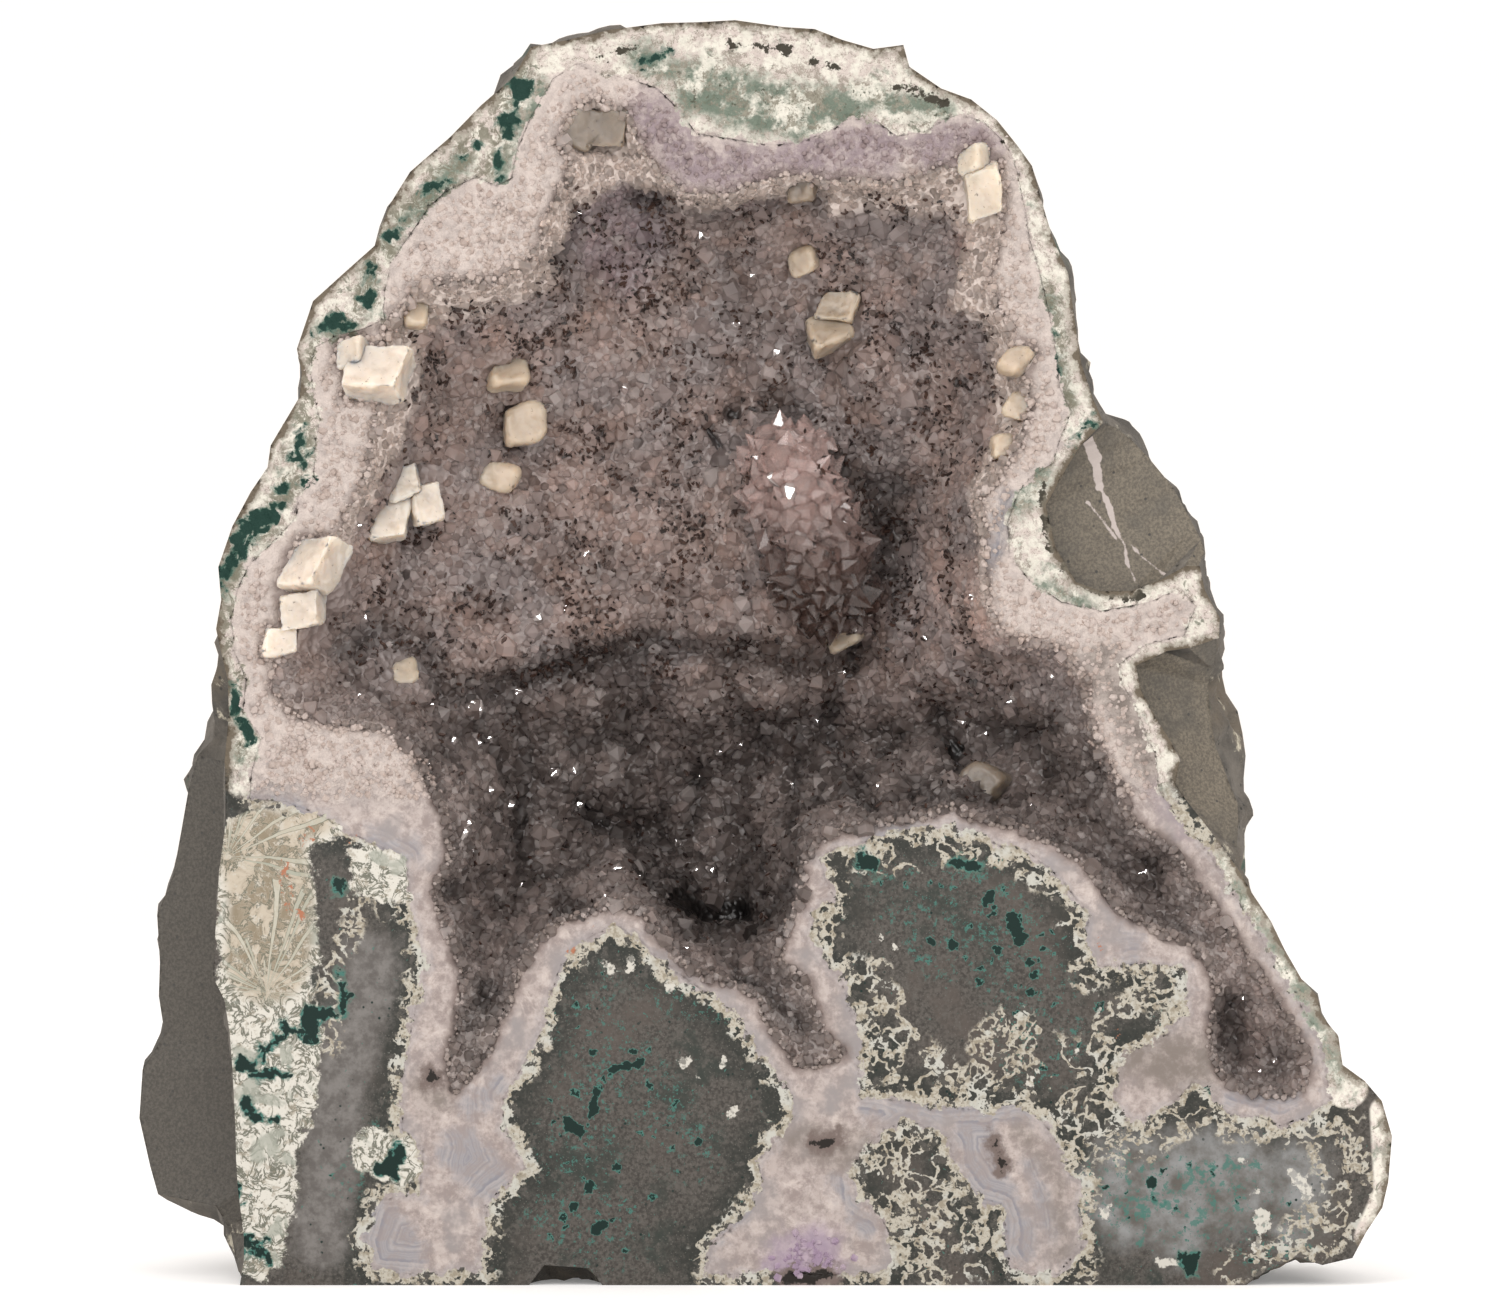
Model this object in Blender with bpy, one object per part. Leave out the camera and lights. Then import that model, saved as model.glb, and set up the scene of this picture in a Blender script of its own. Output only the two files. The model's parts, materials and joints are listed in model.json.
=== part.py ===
"""Amethyst geode that stands on its flat cut base, its hollow sawn open to the front.

The basalt matrix is one solid: a sawn front face with islands and feet, a natural skin behind it,
and a hollow. The quartz crust lines the hollow and fills the veins between the islands. Calcite
crystals sit in the crust. Metres, +Z up, the sawn face looks towards -Y.

Outlines are read off the front view as (column, row) pairs and scaled by HEIGHT.
"""

import math
import random

import bmesh
import bpy
from mathutils import Matrix, Vector, noise
from mathutils.geometry import delaunay_2d_cdt

# Driving dimensions
HEIGHT = 0.334
DEPTH = 0.176
GAP = 0.0003
CRUST = 0.010
CRUST_GAP = 0.001
LATTICE = 0.0056
WALL_LATTICE = 0.0105
WALL_REACH = 0.0060
CRYSTAL_HEIGHT = 0.0042

# Front view: rows of the crest and the ground, column of the middle
CREST_ROW = 17
GROUND_ROW = 1283
MIDDLE_COLUMN = 763.5
PIXEL = HEIGHT / (GROUND_ROW - CREST_ROW)
VIEW_DISTANCE = 1.5
EYE_HEIGHT = 0.11

# Natural skin behind the sawn face: share of DEPTH, scale of the outline about the base, and
# how often the outline is smoothed there
SKIN_RINGS = [(0.15, 1.000, 3), (0.35, 0.955, 16), (0.56, 0.855, 36), (0.75, 0.700, 50),
              (0.89, 0.500, 60), (0.97, 0.250, 70)]
ROUND_EDGE = 0.004
SKIN_LUMPS = 0.022
SKIN_PITS = 0.009

# Edge of the sawn face over the top, from the left shoulder to the upper lump
FACE_TOP = [(216, 629), (221, 600), (218, 567), (232, 526), (250, 492), (267, 467), (270, 445),
            (299, 396), (301, 372), (296, 348), (312, 300), (345, 270), (374, 244), (388, 204),
            (409, 170), (449, 135), (480, 103), (512, 75), (530, 44), (567, 37), (608, 27),
            (662, 20), (700, 19), (735, 17), (784, 24), (815, 26), (843, 37), (874, 46), (904, 42),
            (910, 64), (942, 86), (972, 97), (998, 118), (1018, 143), (1033, 164), (1041, 194),
            (1053, 235), (1069, 272), (1075, 315), (1082, 363), (1094, 399)]

# Edges where a set-back face shows beside the sawn one: sawn edge, outer edge, setback in mm
LUMP_UPPER = [((1104, 422), (1108, 422), 2), ((1080, 446), (1118, 425), 5),
              ((1062, 476), (1134, 438), 6), ((1046, 506), (1152, 457), 7),
              ((1056, 548), (1166, 474), 8), ((1076, 582), (1176, 487), 9),
              ((1100, 591), (1186, 505), 9), ((1132, 591), (1196, 524), 8),
              ((1160, 580), (1203, 538), 7), ((1186, 566), (1207, 551), 5)]
BRIDGE = [(1200, 566), (1205, 590), (1220, 618), (1219, 638)]
LUMP_LOWER = [((1190, 648), (1218, 652), 3), ((1167, 651), (1214, 668), 6),
              ((1136, 666), (1210, 684), 8), ((1141, 691), (1211, 700), 9),
              ((1155, 717), (1213, 722), 9), ((1171, 742), (1217, 745), 9),
              ((1180, 760), (1225, 766), 8), ((1175, 783), (1232, 786), 7),
              ((1185, 799), (1239, 802), 6), ((1203, 822), (1240, 824), 4),
              ((1224, 850), (1238, 848), 2)]
FACE_RIGHT = [(1238, 870), (1252, 894), (1270, 921), (1284, 950), (1300, 978), (1316, 995),
              (1320, 1014), (1337, 1036), (1341, 1064), (1363, 1080), (1380, 1100), (1390, 1135),
              (1386, 1181), (1380, 1206), (1364, 1230), (1350, 1256), (1320, 1263), (1294, 1255),
              (1262, 1270), (1244, 1283)]
BASE_COLUMNS = [1180, 1110, 1040, 970, 900, 830, 760, 690, 640, 603]
BASE_GAP = [(590, 1266), (545, 1263)]
BASE_COLUMNS_LEFT = [530, 480, 420, 360, 300]
SLAB = [((242, 1283), (244, 1283), 2), ((246, 1258), (236, 1260), 6),
        ((246, 1236), (231, 1232), 14), ((243, 1212), (216, 1206), 24),
        ((240, 1190), (158, 1194), 30), ((238, 1162), (150, 1166), 31),
        ((237, 1124), (139, 1118), 32), ((234, 1069), (142, 1070), 32),
        ((231, 1032), (164, 1034), 32), ((226, 1000), (158, 996), 32),
        ((214, 976), (159, 962), 32), ((217, 921), (156, 915), 31),
        ((220, 871), (172, 875), 30), ((226, 825), (180, 830), 29),
        ((226, 795), (187, 789), 27), ((225, 762), (196, 755), 22),
        ((229, 716), (207, 722), 14), ((228, 680), (208, 684), 8), ((221, 652), (216, 654), 3)]

# Where the quartz crust meets the rock on the sawn face, clockwise from the left pocket
CRUST_EDGE = [
    (252, 772), (262, 738), (243, 712), (246, 680), (234, 650), (231, 618), (237, 590), (248, 566),
    (276, 538), (295, 518), (298, 495), (314, 478), (314, 450), (319, 419), (313, 394), (309, 371),
    (314, 346), (338, 334), (362, 328), (383, 318), (383, 297), (390, 261), (410, 232), (428, 205),
    (446, 189), (476, 175), (496, 184), (511, 176), (516, 149), (528, 119), (541, 96), (552, 76),
    (576, 61), (602, 71), (626, 75), (657, 86), (680, 108), (696, 131), (738, 138), (772, 143),
    (802, 140), (830, 129), (850, 116), (876, 118), (897, 134), (926, 129), (944, 118), (960, 112),
    (984, 119), (1004, 139), (1014, 156), (1020, 178), (1025, 203), (1030, 236), (1040, 270),
    (1046, 294), (1052, 322), (1056, 347), (1060, 386), (1072, 412), (1062, 434), (1054, 462),
    (1034, 474), (1020, 490), (1008, 520), (1010, 556), (1030, 580), (1062, 602), (1100, 611),
    (1150, 602), (1180, 588), (1196, 606), (1184, 636), (1146, 644), (1120, 664), (1122, 684),
    (1136, 706), (1146, 735), (1156, 756), (1158, 790), (1178, 818), (1208, 852), (1228, 886),
    (1252, 924), (1272, 957), (1290, 986), (1304, 1012), (1321, 1045), (1325, 1076), (1330, 1098),
    (1311, 1114), (1278, 1125), (1255, 1115), (1232, 1114), (1216, 1106), (1206, 1090),
    (1190, 1082), (1178, 1096), (1155, 1114), (1128, 1124), (1114, 1100), (1116, 1066),
    (1132, 1047), (1150, 1044), (1166, 1034), (1178, 1018), (1186, 996), (1184, 968), (1150, 962),
    (1098, 966), (1084, 940), (1088, 916), (1064, 884), (1047, 867), (1025, 849), (1000, 846),
    (974, 834), (953, 826), (923, 829), (890, 833), (866, 842), (836, 848), (820, 860), (826, 880),
    (836, 900), (815, 912), (811, 935), (826, 960), (842, 980), (848, 1005), (856, 1025),
    (864, 1042), (858, 1066), (860, 1094), (900, 1100), (940, 1105), (984, 1109), (1020, 1104),
    (1040, 1118), (1058, 1146), (1070, 1174), (1086, 1184), (1078, 1204), (1080, 1246),
    (1066, 1262), (1056, 1272), (1016, 1272), (1003, 1250), (1005, 1229), (1000, 1203),
    (977, 1195), (954, 1166), (950, 1144), (935, 1130), (906, 1118), (884, 1129), (860, 1150),
    (852, 1176), (856, 1199), (881, 1214), (893, 1243), (894, 1264), (878, 1272), (708, 1272),
    (706, 1246), (730, 1229), (750, 1204), (762, 1180), (757, 1160), (774, 1142), (793, 1115),
    (786, 1086), (766, 1060), (750, 1038), (732, 1008), (704, 992), (684, 977), (656, 957),
    (638, 938), (614, 924), (584, 941), (562, 965), (552, 990), (540, 1036), (520, 1072),
    (504, 1098), (505, 1124), (518, 1152), (526, 1168), (504, 1186), (486, 1204), (490, 1232),
    (484, 1266), (420, 1272), (374, 1268), (366, 1236), (382, 1198), (420, 1192), (424, 1150),
    (404, 1128), (401, 1100), (404, 1076), (413, 1020), (426, 970), (409, 900), (407, 860),
    (384, 848), (352, 834), (322, 816), (286, 802), (250, 798)]

# Mouth of the hollow, inside the crust edge
MOUTH = [
    (270, 684), (292, 712), (329, 723), (384, 728), (413, 751), (427, 778), (447, 816), (452, 857),
    (434, 888), (447, 929), (464, 974), (458, 1031), (450, 1056), (430, 1066), (430, 1088),
    (455, 1090), (484, 1058), (499, 1022), (514, 994), (518, 969), (540, 938), (563, 920),
    (588, 912), (619, 901), (647, 914), (657, 936), (677, 957), (700, 974), (738, 984), (759, 999),
    (768, 1022), (802, 1066), (838, 1104), (822, 1138), (838, 1146), (846, 1104), (844, 1054),
    (822, 1031), (806, 985), (778, 958), (784, 935), (793, 911), (802, 898), (800, 880),
    (804, 862), (820, 840), (842, 830), (868, 825), (896, 819), (936, 812), (953, 803), (974, 818),
    (1015, 825), (1041, 839), (1078, 857), (1104, 888), (1122, 910), (1158, 930), (1190, 942),
    (1206, 964), (1218, 990), (1212, 1020), (1210, 1052), (1224, 1076), (1246, 1092), (1296, 1092),
    (1306, 1078), (1304, 1054), (1288, 1022), (1270, 990), (1246, 958), (1226, 928), (1202, 892),
    (1180, 860), (1156, 838), (1134, 826), (1124, 806), (1122, 788), (1106, 766), (1096, 740),
    (1087, 710), (1088, 684), (1060, 650), (1024, 643), (998, 634), (986, 600), (984, 560),
    (984, 536), (978, 497), (1000, 473), (1017, 446), (1030, 402), (1022, 360), (1008, 330),
    (988, 280), (1003, 223), (986, 190), (970, 170), (950, 165), (923, 174), (892, 183),
    (856, 180), (834, 180), (794, 173), (758, 180), (725, 196), (685, 192), (658, 170), (636, 138),
    (624, 110), (596, 98), (578, 106), (558, 138), (572, 158), (566, 180), (548, 212), (530, 266),
    (496, 280), (430, 283), (408, 296), (384, 330), (388, 372), (374, 424), (370, 470), (345, 520),
    (312, 596), (290, 640)]

# Depth of the hollow behind the sawn face, in mm, at (column, row)
SOUNDINGS = [
    (310, 660, 12), (360, 620, 16), (350, 700, 15), (430, 690, 22), (420, 520, 20), (400, 410, 18),
    (450, 330, 20), (540, 320, 26), (600, 160, 22), (640, 250, 30), (700, 300, 32), (800, 230, 26),
    (780, 330, 34), (900, 230, 24), (970, 260, 20), (980, 350, 22), (900, 330, 30), (560, 440, 32),
    (470, 480, 26), (660, 420, 38), (600, 560, 38), (500, 590, 30), (700, 600, 42), (740, 400, 46),
    (940, 420, 32), (980, 450, 24), (760, 560, 44), (905, 530, 60), (885, 600, 58), (950, 600, 44),
    (470, 650, 32), (560, 650, 38), (660, 650, 44), (780, 660, 48), (880, 670, 58), (960, 660, 50),
    (460, 730, 46), (520, 740, 66), (620, 740, 84), (720, 760, 92), (820, 740, 82), (900, 760, 68),
    (980, 720, 56), (1050, 700, 38), (1060, 770, 44), (980, 790, 52), (1110, 850, 34),
    (480, 830, 58), (560, 830, 86), (660, 850, 104), (760, 860, 104), (880, 800, 64),
    (500, 920, 56), (600, 890, 88), (700, 930, 92), (760, 950, 74), (480, 1010, 44),
    (446, 1074, 24), (790, 1030, 50), (835, 1120, 22), (1160, 900, 34), (1210, 950, 40),
    (1250, 1000, 44), (1226, 1040, 52), (1270, 1070, 34)]
SOUNDING_REACH = 0.011
WALL_RUN = 0.020
WALL_CURVE = 1.9
LUMP_SIZE = 0.021
LUMP_RELIEF = 0.0060

# Druzy finger that stands on the back wall: (column, row) of its ends, radii and axis depth in mm
FINGER = [((790, 462), 11.0, 26), ((806, 520), 12.0, 27), ((826, 578), 12.5, 31)]

# Calcite crystals by group: (column, row, width, height) of each block in the front view
CALCITES = {
    "calcite_left_rim": [(378, 373, 58, 50), (352, 352, 26, 24)],
    "calcite_left_chip": [(416, 311, 20, 30)],
    "calcite_upper_small": [(502, 366, 42, 34)],
    "calcite_upper_block": [(519, 415, 44, 42)],
    "calcite_left_cluster": [(400, 479, 34, 32), (422, 500, 28, 38), (387, 515, 36, 46)],
    "calcite_left_blade": [(495, 469, 34, 24)],
    "calcite_edge_cluster": [(314, 566, 44, 54), (302, 610, 40, 34), (281, 640, 32, 26)],
    "calcite_left_pocket": [(397, 671, 34, 30)],
    "calcite_top_pocket": [(582, 120, 34, 42), (611, 122, 34, 36)],
    "calcite_back_small": [(805, 249, 30, 27)],
    "calcite_back_pair": [(842, 296, 38, 30), (830, 322, 42, 36)],
    "calcite_right_rim": [(984, 190, 36, 48), (974, 160, 24, 26)],
    "calcite_right_upper": [(1018, 360, 24, 32)],
    "calcite_right_middle": [(1020, 405, 26, 28)],
    "calcite_right_lower": [(1004, 446, 22, 24)],
    "calcite_under_rim": [(803, 186, 28, 26)],
    "calcite_below_finger": [(849, 622, 40, 36)],
    "calcite_lower_ledge": [(986, 785, 42, 48)],
}
CALCITE_LEAN = 0.22
CALCITE_THICKNESS = 0.8


def metres(column, row, setback=0.0):
    """Place of a point of the front view, (x, y, z), y being its distance behind the sawn face."""
    widen = 1 + setback / VIEW_DISTANCE
    x = (column - MIDDLE_COLUMN) * PIXEL * widen
    z = EYE_HEIGHT + ((GROUND_ROW - row) * PIXEL - EYE_HEIGHT) * widen
    if row >= GROUND_ROW:
        z = 0.0
    return Vector((x, setback, max(z, 0.0)))


def flat_points(outline):
    """Outline as (x, z) pairs in metres on the sawn face."""
    return [(metres(*point).x, metres(*point).z) for point in outline]


def is_inside(x, z, loop):
    """Whether a point of the sawn plane lies inside a closed outline."""
    crossings = 0
    for (x1, z1), (x2, z2) in zip(loop, loop[1:] + loop[:1]):
        if (z1 > z) != (z2 > z) and x < x1 + (z - z1) * (x2 - x1) / (z2 - z1):
            crossings += 1
    return crossings % 2 == 1


def edge_distance(x, z, loop):
    """Distance from a point of the sawn plane to a closed outline."""
    nearest = 1.0
    for (x1, z1), (x2, z2) in zip(loop, loop[1:] + loop[:1]):
        along = (x - x1) * (x2 - x1) + (z - z1) * (z2 - z1)
        along /= (x2 - x1) ** 2 + (z2 - z1) ** 2
        along = min(1.0, max(0.0, along))
        nearest = min(nearest, math.hypot(x - x1 - along * (x2 - x1), z - z1 - along * (z2 - z1)))
    return nearest


def inset_loop(loop, distance):
    """Closed clockwise outline moved inwards, corner by corner."""
    moved = []
    for i, (x, z) in enumerate(loop):
        before = Vector(loop[i - 1])
        after = Vector(loop[(i + 1) % len(loop)])
        first = (Vector((x, z)) - before).normalized()
        second = (after - Vector((x, z))).normalized()
        inward = Vector((first.y + second.y, -first.x - second.x))
        stretch = max(inward.length / 2, 0.5)
        inward.normalize()
        moved.append((x + inward.x * distance / stretch, z + inward.y * distance / stretch))
    return moved


def smooth_step(value):
    """Ease from 0 to 1."""
    value = min(1.0, max(0.0, value))
    return value * value * (3 - 2 * value)


def cell_lumps(x, z):
    """Rounded knobs of the lining, 0 in the seams between them and 1 on their crowns."""
    distances, _ = noise.voronoi(Vector((x, 0.37, z)) / LUMP_SIZE)
    return smooth_step((distances[1] - distances[0]) * 1.3)


def finger_front(x, z):
    """Depth of the finger's front at a point, or None beside it."""
    best = None
    for (start, end) in zip(FINGER, FINGER[1:]):
        for step in range(5):
            share = step / 4
            centre = metres(*start[0]).lerp(metres(*end[0]), share)
            radius = (start[1] + (end[1] - start[1]) * share) * 0.001
            axis_depth = (start[2] + (end[2] - start[2]) * share) * 0.001
            aside = math.hypot(x - centre.x, z - centre.z)
            if aside < radius:
                front = axis_depth - math.sqrt(radius ** 2 - aside ** 2)
                best = front if best is None else min(best, front)
    return best


def hollow_depth(x, z, mouth, with_finger=True):
    """Depth of the smooth wall of the hollow behind the sawn face."""
    weight_sum = 0.0
    depth_sum = 0.0
    for column, row, depth in SOUNDINGS:
        place = metres(column, row)
        away = math.hypot(x - place.x, z - place.z) / SOUNDING_REACH
        weight = 1 / (0.15 + away ** 3)
        weight_sum += weight
        depth_sum += weight * depth * 0.001
    depth = depth_sum / weight_sum - LUMP_RELIEF * (cell_lumps(x, z) - 0.5)
    edge = edge_distance(x, z, mouth)
    depth *= 1 - (1 - min(1.0, edge / WALL_RUN)) ** WALL_CURVE
    if with_finger:
        front = finger_front(x, z)
        if front is not None:
            depth = min(depth, front)
    return depth


def wall_depth(x, z, mouth):
    """Depth of the back of the crust: the deepest of the hollow nearby, and the crust behind it."""
    deepest = 0.0
    for step in range(9):
        reach = 0.0 if step == 8 else WALL_REACH
        side = x + reach * math.cos(step * math.pi / 4)
        up = z + reach * math.sin(step * math.pi / 4)
        if is_inside(side, up, mouth):
            deepest = max(deepest, hollow_depth(side, up, mouth, False))
    return deepest + CRUST


def lattice_points(mouth, spacing):
    """Triangular lattice inside the mouth: (x, z, is_crown), every third point being a crown."""
    points = []
    row_step = spacing * math.sqrt(3) / 2
    low = min(z for _, z in mouth)
    high = max(z for _, z in mouth)
    left = min(x for x, _ in mouth)
    right = max(x for x, _ in mouth)
    for row in range(int((high - low) / row_step) + 1):
        z = low + row * row_step
        shift = 0.5 if row % 2 else 0.0
        for column in range(int((right - left) / spacing) + 1):
            x = left + (column + shift) * spacing
            is_crown = (column - (row // 2) * 2 - (row % 2)) % 3 == 0
            if is_inside(x, z, mouth) and edge_distance(x, z, mouth) > 0.55 * spacing:
                points.append((x, z, is_crown))
    return points


def triangulate(loops, points):
    """Triangles over closed loops and loose points; vertices come first loop by loop."""
    flat = [Vector(p) for loop in loops for p in loop] + [Vector(p[:2]) for p in points]
    edges = []
    start = 0
    for loop in loops:
        count = len(loop)
        edges += [(start + i, start + (i + 1) % count) for i in range(count)]
        start += count
    corners, _, faces, origins, _, _ = delaunay_2d_cdt(flat, edges, [], 0, 1e-7)
    source = [origin[0] for origin in origins]
    return [tuple(source[i] for i in face) for face in faces], [tuple(v) for v in flat]


def centre_of(triangle, flat):
    """Middle of a triangle of the sawn plane."""
    return (sum(flat[i][0] for i in triangle) / 3, sum(flat[i][1] for i in triangle) / 3)


def make_object(name, vertices, faces, material):
    """Closed solid with its faces turned out."""
    mesh = bpy.data.meshes.new(name)
    mesh.from_pydata([tuple(v) for v in vertices], [], faces)
    shape = bmesh.new()
    shape.from_mesh(mesh)
    bmesh.ops.triangulate(shape, faces=shape.faces[:])
    bmesh.ops.recalc_face_normals(shape, faces=shape.faces[:])
    shape.to_mesh(mesh)
    shape.free()
    mesh.materials.append(material)
    made = bpy.data.objects.new(name, mesh)
    bpy.context.scene.collection.objects.link(made)
    return made


def principled(name, colour, roughness, transmission=0.0):
    """Material with one plain finish."""
    material = bpy.data.materials.new(name)
    material.use_nodes = True
    shader = material.node_tree.nodes["Principled BSDF"]
    shader.inputs["Base Color"].default_value = (*colour, 1.0)
    shader.inputs["Roughness"].default_value = roughness
    shader.inputs["Metallic"].default_value = 0.0
    shader.inputs["Transmission Weight"].default_value = transmission
    return material


def face_outline():
    """Edge of the sawn face, clockwise, as (sawn edge, outer edge, setback)."""
    plain = [(p, p, 0) for p in FACE_TOP]
    plain += LUMP_UPPER
    plain += [(p, p, 0) for p in BRIDGE]
    plain += LUMP_LOWER
    plain += [(p, p, 0) for p in FACE_RIGHT]
    plain += [((c, GROUND_ROW), (c, GROUND_ROW), 0) for c in BASE_COLUMNS]
    plain += [(p, p, 0) for p in BASE_GAP]
    plain += [((c, GROUND_ROW), (c, GROUND_ROW), 0) for c in BASE_COLUMNS_LEFT]
    return plain + SLAB


def smooth_ring(ring, on_base, passes):
    """Ring with each point drawn towards its neighbours; the cut base stays flat."""
    for _ in range(passes):
        drawn = []
        for i, point in enumerate(ring):
            middle = (ring[i - 1] + ring[(i + 1) % len(ring)]) / 2
            drawn.append(point.lerp(middle, 0.5))
        ring = drawn
    for point, is_base in zip(ring, on_base):
        point.z = 0.0 if is_base else max(point.z, 0.0)
    return ring


def skin_rings(outline):
    """Rings of the natural skin from the sawn edge to the back, each as long as the outline."""
    sawn = [metres(*edge) for edge, _, _ in outline]
    rounded = []
    for point, (_, _, setback) in zip(sawn, outline):
        rounded.append(point + Vector((0, 0.001 * setback if setback else ROUND_EDGE, 0)))
    outer = [metres(*edge, setback * 0.001 + 0.0004) for _, edge, setback in outline]
    on_base = [max(edge[1], other[1]) > GROUND_ROW - 25 and edge[0] < 1250
               for edge, other, _ in outline]
    rings = [sawn, rounded, [p + Vector((0, 1.6 * ROUND_EDGE, 0)) for p in outer]]
    for share, scale, passes in SKIN_RINGS:
        ring = smooth_ring([p.copy() for p in outer], on_base, passes)
        for point, is_base in zip(ring, on_base):
            place = Vector((point.x * scale, DEPTH * share + point.y * (1 - share),
                            point.z * scale))
            out = (place - Vector((0, DEPTH * 0.25, HEIGHT * 0.25))).normalized()
            swell = SKIN_LUMPS * noise.noise(place * 17) + SKIN_PITS * noise.noise(place * 60)
            place += out * swell * min(1.0, 2.2 * share)
            point.x = place.x
            point.y = place.y
            point.z = 0.0 if is_base else max(place.z, 0.0006)
        rings.append(ring)
    return rings


def matrix_solid(outline, crust_edge, mouth, wall, material):
    """Basalt: sawn face, walls round the crust, hollow behind it, natural skin and cut base."""
    face = [(metres(*edge).x, metres(*edge).z) for edge, _, _ in outline]
    triangles, flat = triangulate([face, crust_edge, mouth], wall)
    face_count = len(face)
    edge_count = len(crust_edge)
    vertices = [Vector((x, 0.0, z)) for x, z in flat]
    for i, (x, z) in enumerate(flat):
        if i >= face_count + edge_count:
            vertices[i].y = wall_depth(x, z, mouth) + CRUST_GAP
    deep_start = len(vertices)
    vertices += [Vector((x, CRUST + CRUST_GAP, z)) for x, z in crust_edge]
    faces = []
    for triangle in triangles:
        x, z = centre_of(triangle, flat)
        if is_inside(x, z, crust_edge):
            deep = [i - face_count + deep_start if face_count <= i < face_count + edge_count else i
                    for i in triangle]
            faces.append(tuple(deep))
        elif is_inside(x, z, face):
            faces.append(triangle)
    for i in range(edge_count):
        j = (i + 1) % edge_count
        faces.append((face_count + i, face_count + j, deep_start + j, deep_start + i))
    previous = list(range(face_count))
    rings = skin_rings(outline)
    for ring in rings[1:]:
        start = len(vertices)
        vertices += ring
        current = list(range(start, start + face_count))
        for i in range(face_count):
            j = (i + 1) % face_count
            faces.append((previous[i], previous[j], current[j], current[i]))
        previous = current
    vertices.append(Vector((0.0, DEPTH, HEIGHT * 0.10)))
    for i in range(face_count):
        faces.append((previous[i], previous[(i + 1) % face_count], len(vertices) - 1))
    return make_object("basalt_matrix", vertices, faces, material)


def under_calcite(x, z):
    """Whether a calcite block sits over a point of the wall."""
    for blocks in CALCITES.values():
        for column, row, width, height in blocks:
            place = metres(column, row)
            reach = 0.62 * PIXEL * math.hypot(width, height)
            if math.hypot(x - place.x, z - place.z) < reach:
                return True
    return False


def crystal_tip(x, z, depth, mouth, rng):
    """Tip of a crystal that points out of the wall of the hollow."""
    step = LATTICE * 0.5
    slope_x = hollow_depth(x + step, z, mouth) - hollow_depth(x - step, z, mouth)
    slope_z = hollow_depth(x, z + step, mouth) - hollow_depth(x, z - step, mouth)
    out = Vector((slope_x, -2 * step, slope_z)).normalized()
    height = CRYSTAL_HEIGHT * rng.uniform(0.7, 1.4)
    tip = Vector((x, depth + out.y * height, z))
    tip += Vector((out.x, 0, out.z)) * min(height, LATTICE * 0.45)
    tip.y = max(tip.y, 0.0005)
    return tip


def crust_solid(crust_edge, mouth, lattice, wall, material):
    """Quartz lining: sawn flat round the mouth, pointed crystals on the wall of the hollow."""
    rng = random.Random(11)
    edge = inset_loop(crust_edge, GAP)
    edge_count = len(edge)
    mouth_end = edge_count + len(mouth)
    fronts, flat = triangulate([edge, mouth], lattice)
    vertices = []
    for i, (x, z) in enumerate(flat):
        if i < mouth_end:
            vertices.append(Vector((x, 0.0, z)))
            continue
        depth = hollow_depth(x, z, mouth)
        if lattice[i - mouth_end][2] and not under_calcite(x, z):
            vertices.append(crystal_tip(x, z, depth, mouth, rng))
        else:
            vertices.append(Vector((x, depth, z)))
    faces = [face for face in fronts if is_inside(*centre_of(face, flat), edge)]
    shift = len(vertices)
    backs, back_flat = triangulate([edge, mouth], wall)
    for i, (x, z) in enumerate(back_flat):
        depth = CRUST if i < edge_count else wall_depth(x, z, mouth)
        vertices.append(Vector((x, depth, z)))
    faces += [(a + shift, c + shift, b + shift) for a, b, c in backs
              if is_inside(*centre_of((a, b, c), back_flat), edge)]
    for i in range(edge_count):
        j = (i + 1) % edge_count
        faces.append((i, j, j + shift, i + shift))
    return make_object("quartz_crust", vertices, faces, material)


def rhomb(centre, width, height, turn, grow=0.0):
    """Corners and faces of one calcite block, a leaning box with equal opposite faces."""
    half = [width / 2 + grow, CALCITE_THICKNESS * (width + height) / 4 + grow, height / 2 + grow]
    corners = []
    for sx in (-1, 1):
        for sy in (-1, 1):
            for sz in (-1, 1):
                lean = CALCITE_LEAN * sz * half[2]
                corner = Vector((sx * half[0] + lean, sy * half[1] + lean, sz * half[2]))
                corners.append(centre + turn @ corner)
    faces = [(0, 1, 3, 2), (4, 6, 7, 5), (0, 4, 5, 1), (2, 3, 7, 6), (0, 2, 6, 4), (1, 5, 7, 3)]
    return corners, faces


def calcite_group(name, blocks, mouth, material, grow=0.0):
    """Blocks of one group grown together in one solid; grow makes the pocket they sit in."""
    rng = random.Random(len(name) * 31 + blocks[0][0])
    places = [metres(column, row) for column, row, _, _ in blocks]
    walls = [hollow_depth(p.x, p.z, mouth) if is_inside(p.x, p.z, mouth) else 0.0 for p in places]
    wall = sum(walls) / len(walls)
    made = None
    for place, (_, _, width, height) in zip(places, blocks):
        width *= PIXEL * 0.92
        height *= PIXEL * 0.92
        half_depth = CALCITE_THICKNESS * (width + height) / 4
        centre = Vector((place.x, max(wall - 0.5 * half_depth, 0.1 * half_depth), place.z))
        turn = Matrix.Rotation(rng.uniform(-0.5, 0.5), 3, "Y")
        turn = turn @ Matrix.Rotation(rng.uniform(-0.55, 0.55), 3, "Z")
        turn = turn @ Matrix.Rotation(rng.uniform(-0.35, 0.35), 3, "X")
        corners, faces = rhomb(centre, width, height, turn, grow)
        block = make_object(name, corners, faces, material)
        if made is None:
            made = block
        else:
            boolean(made, block, "UNION")
    return made


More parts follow.
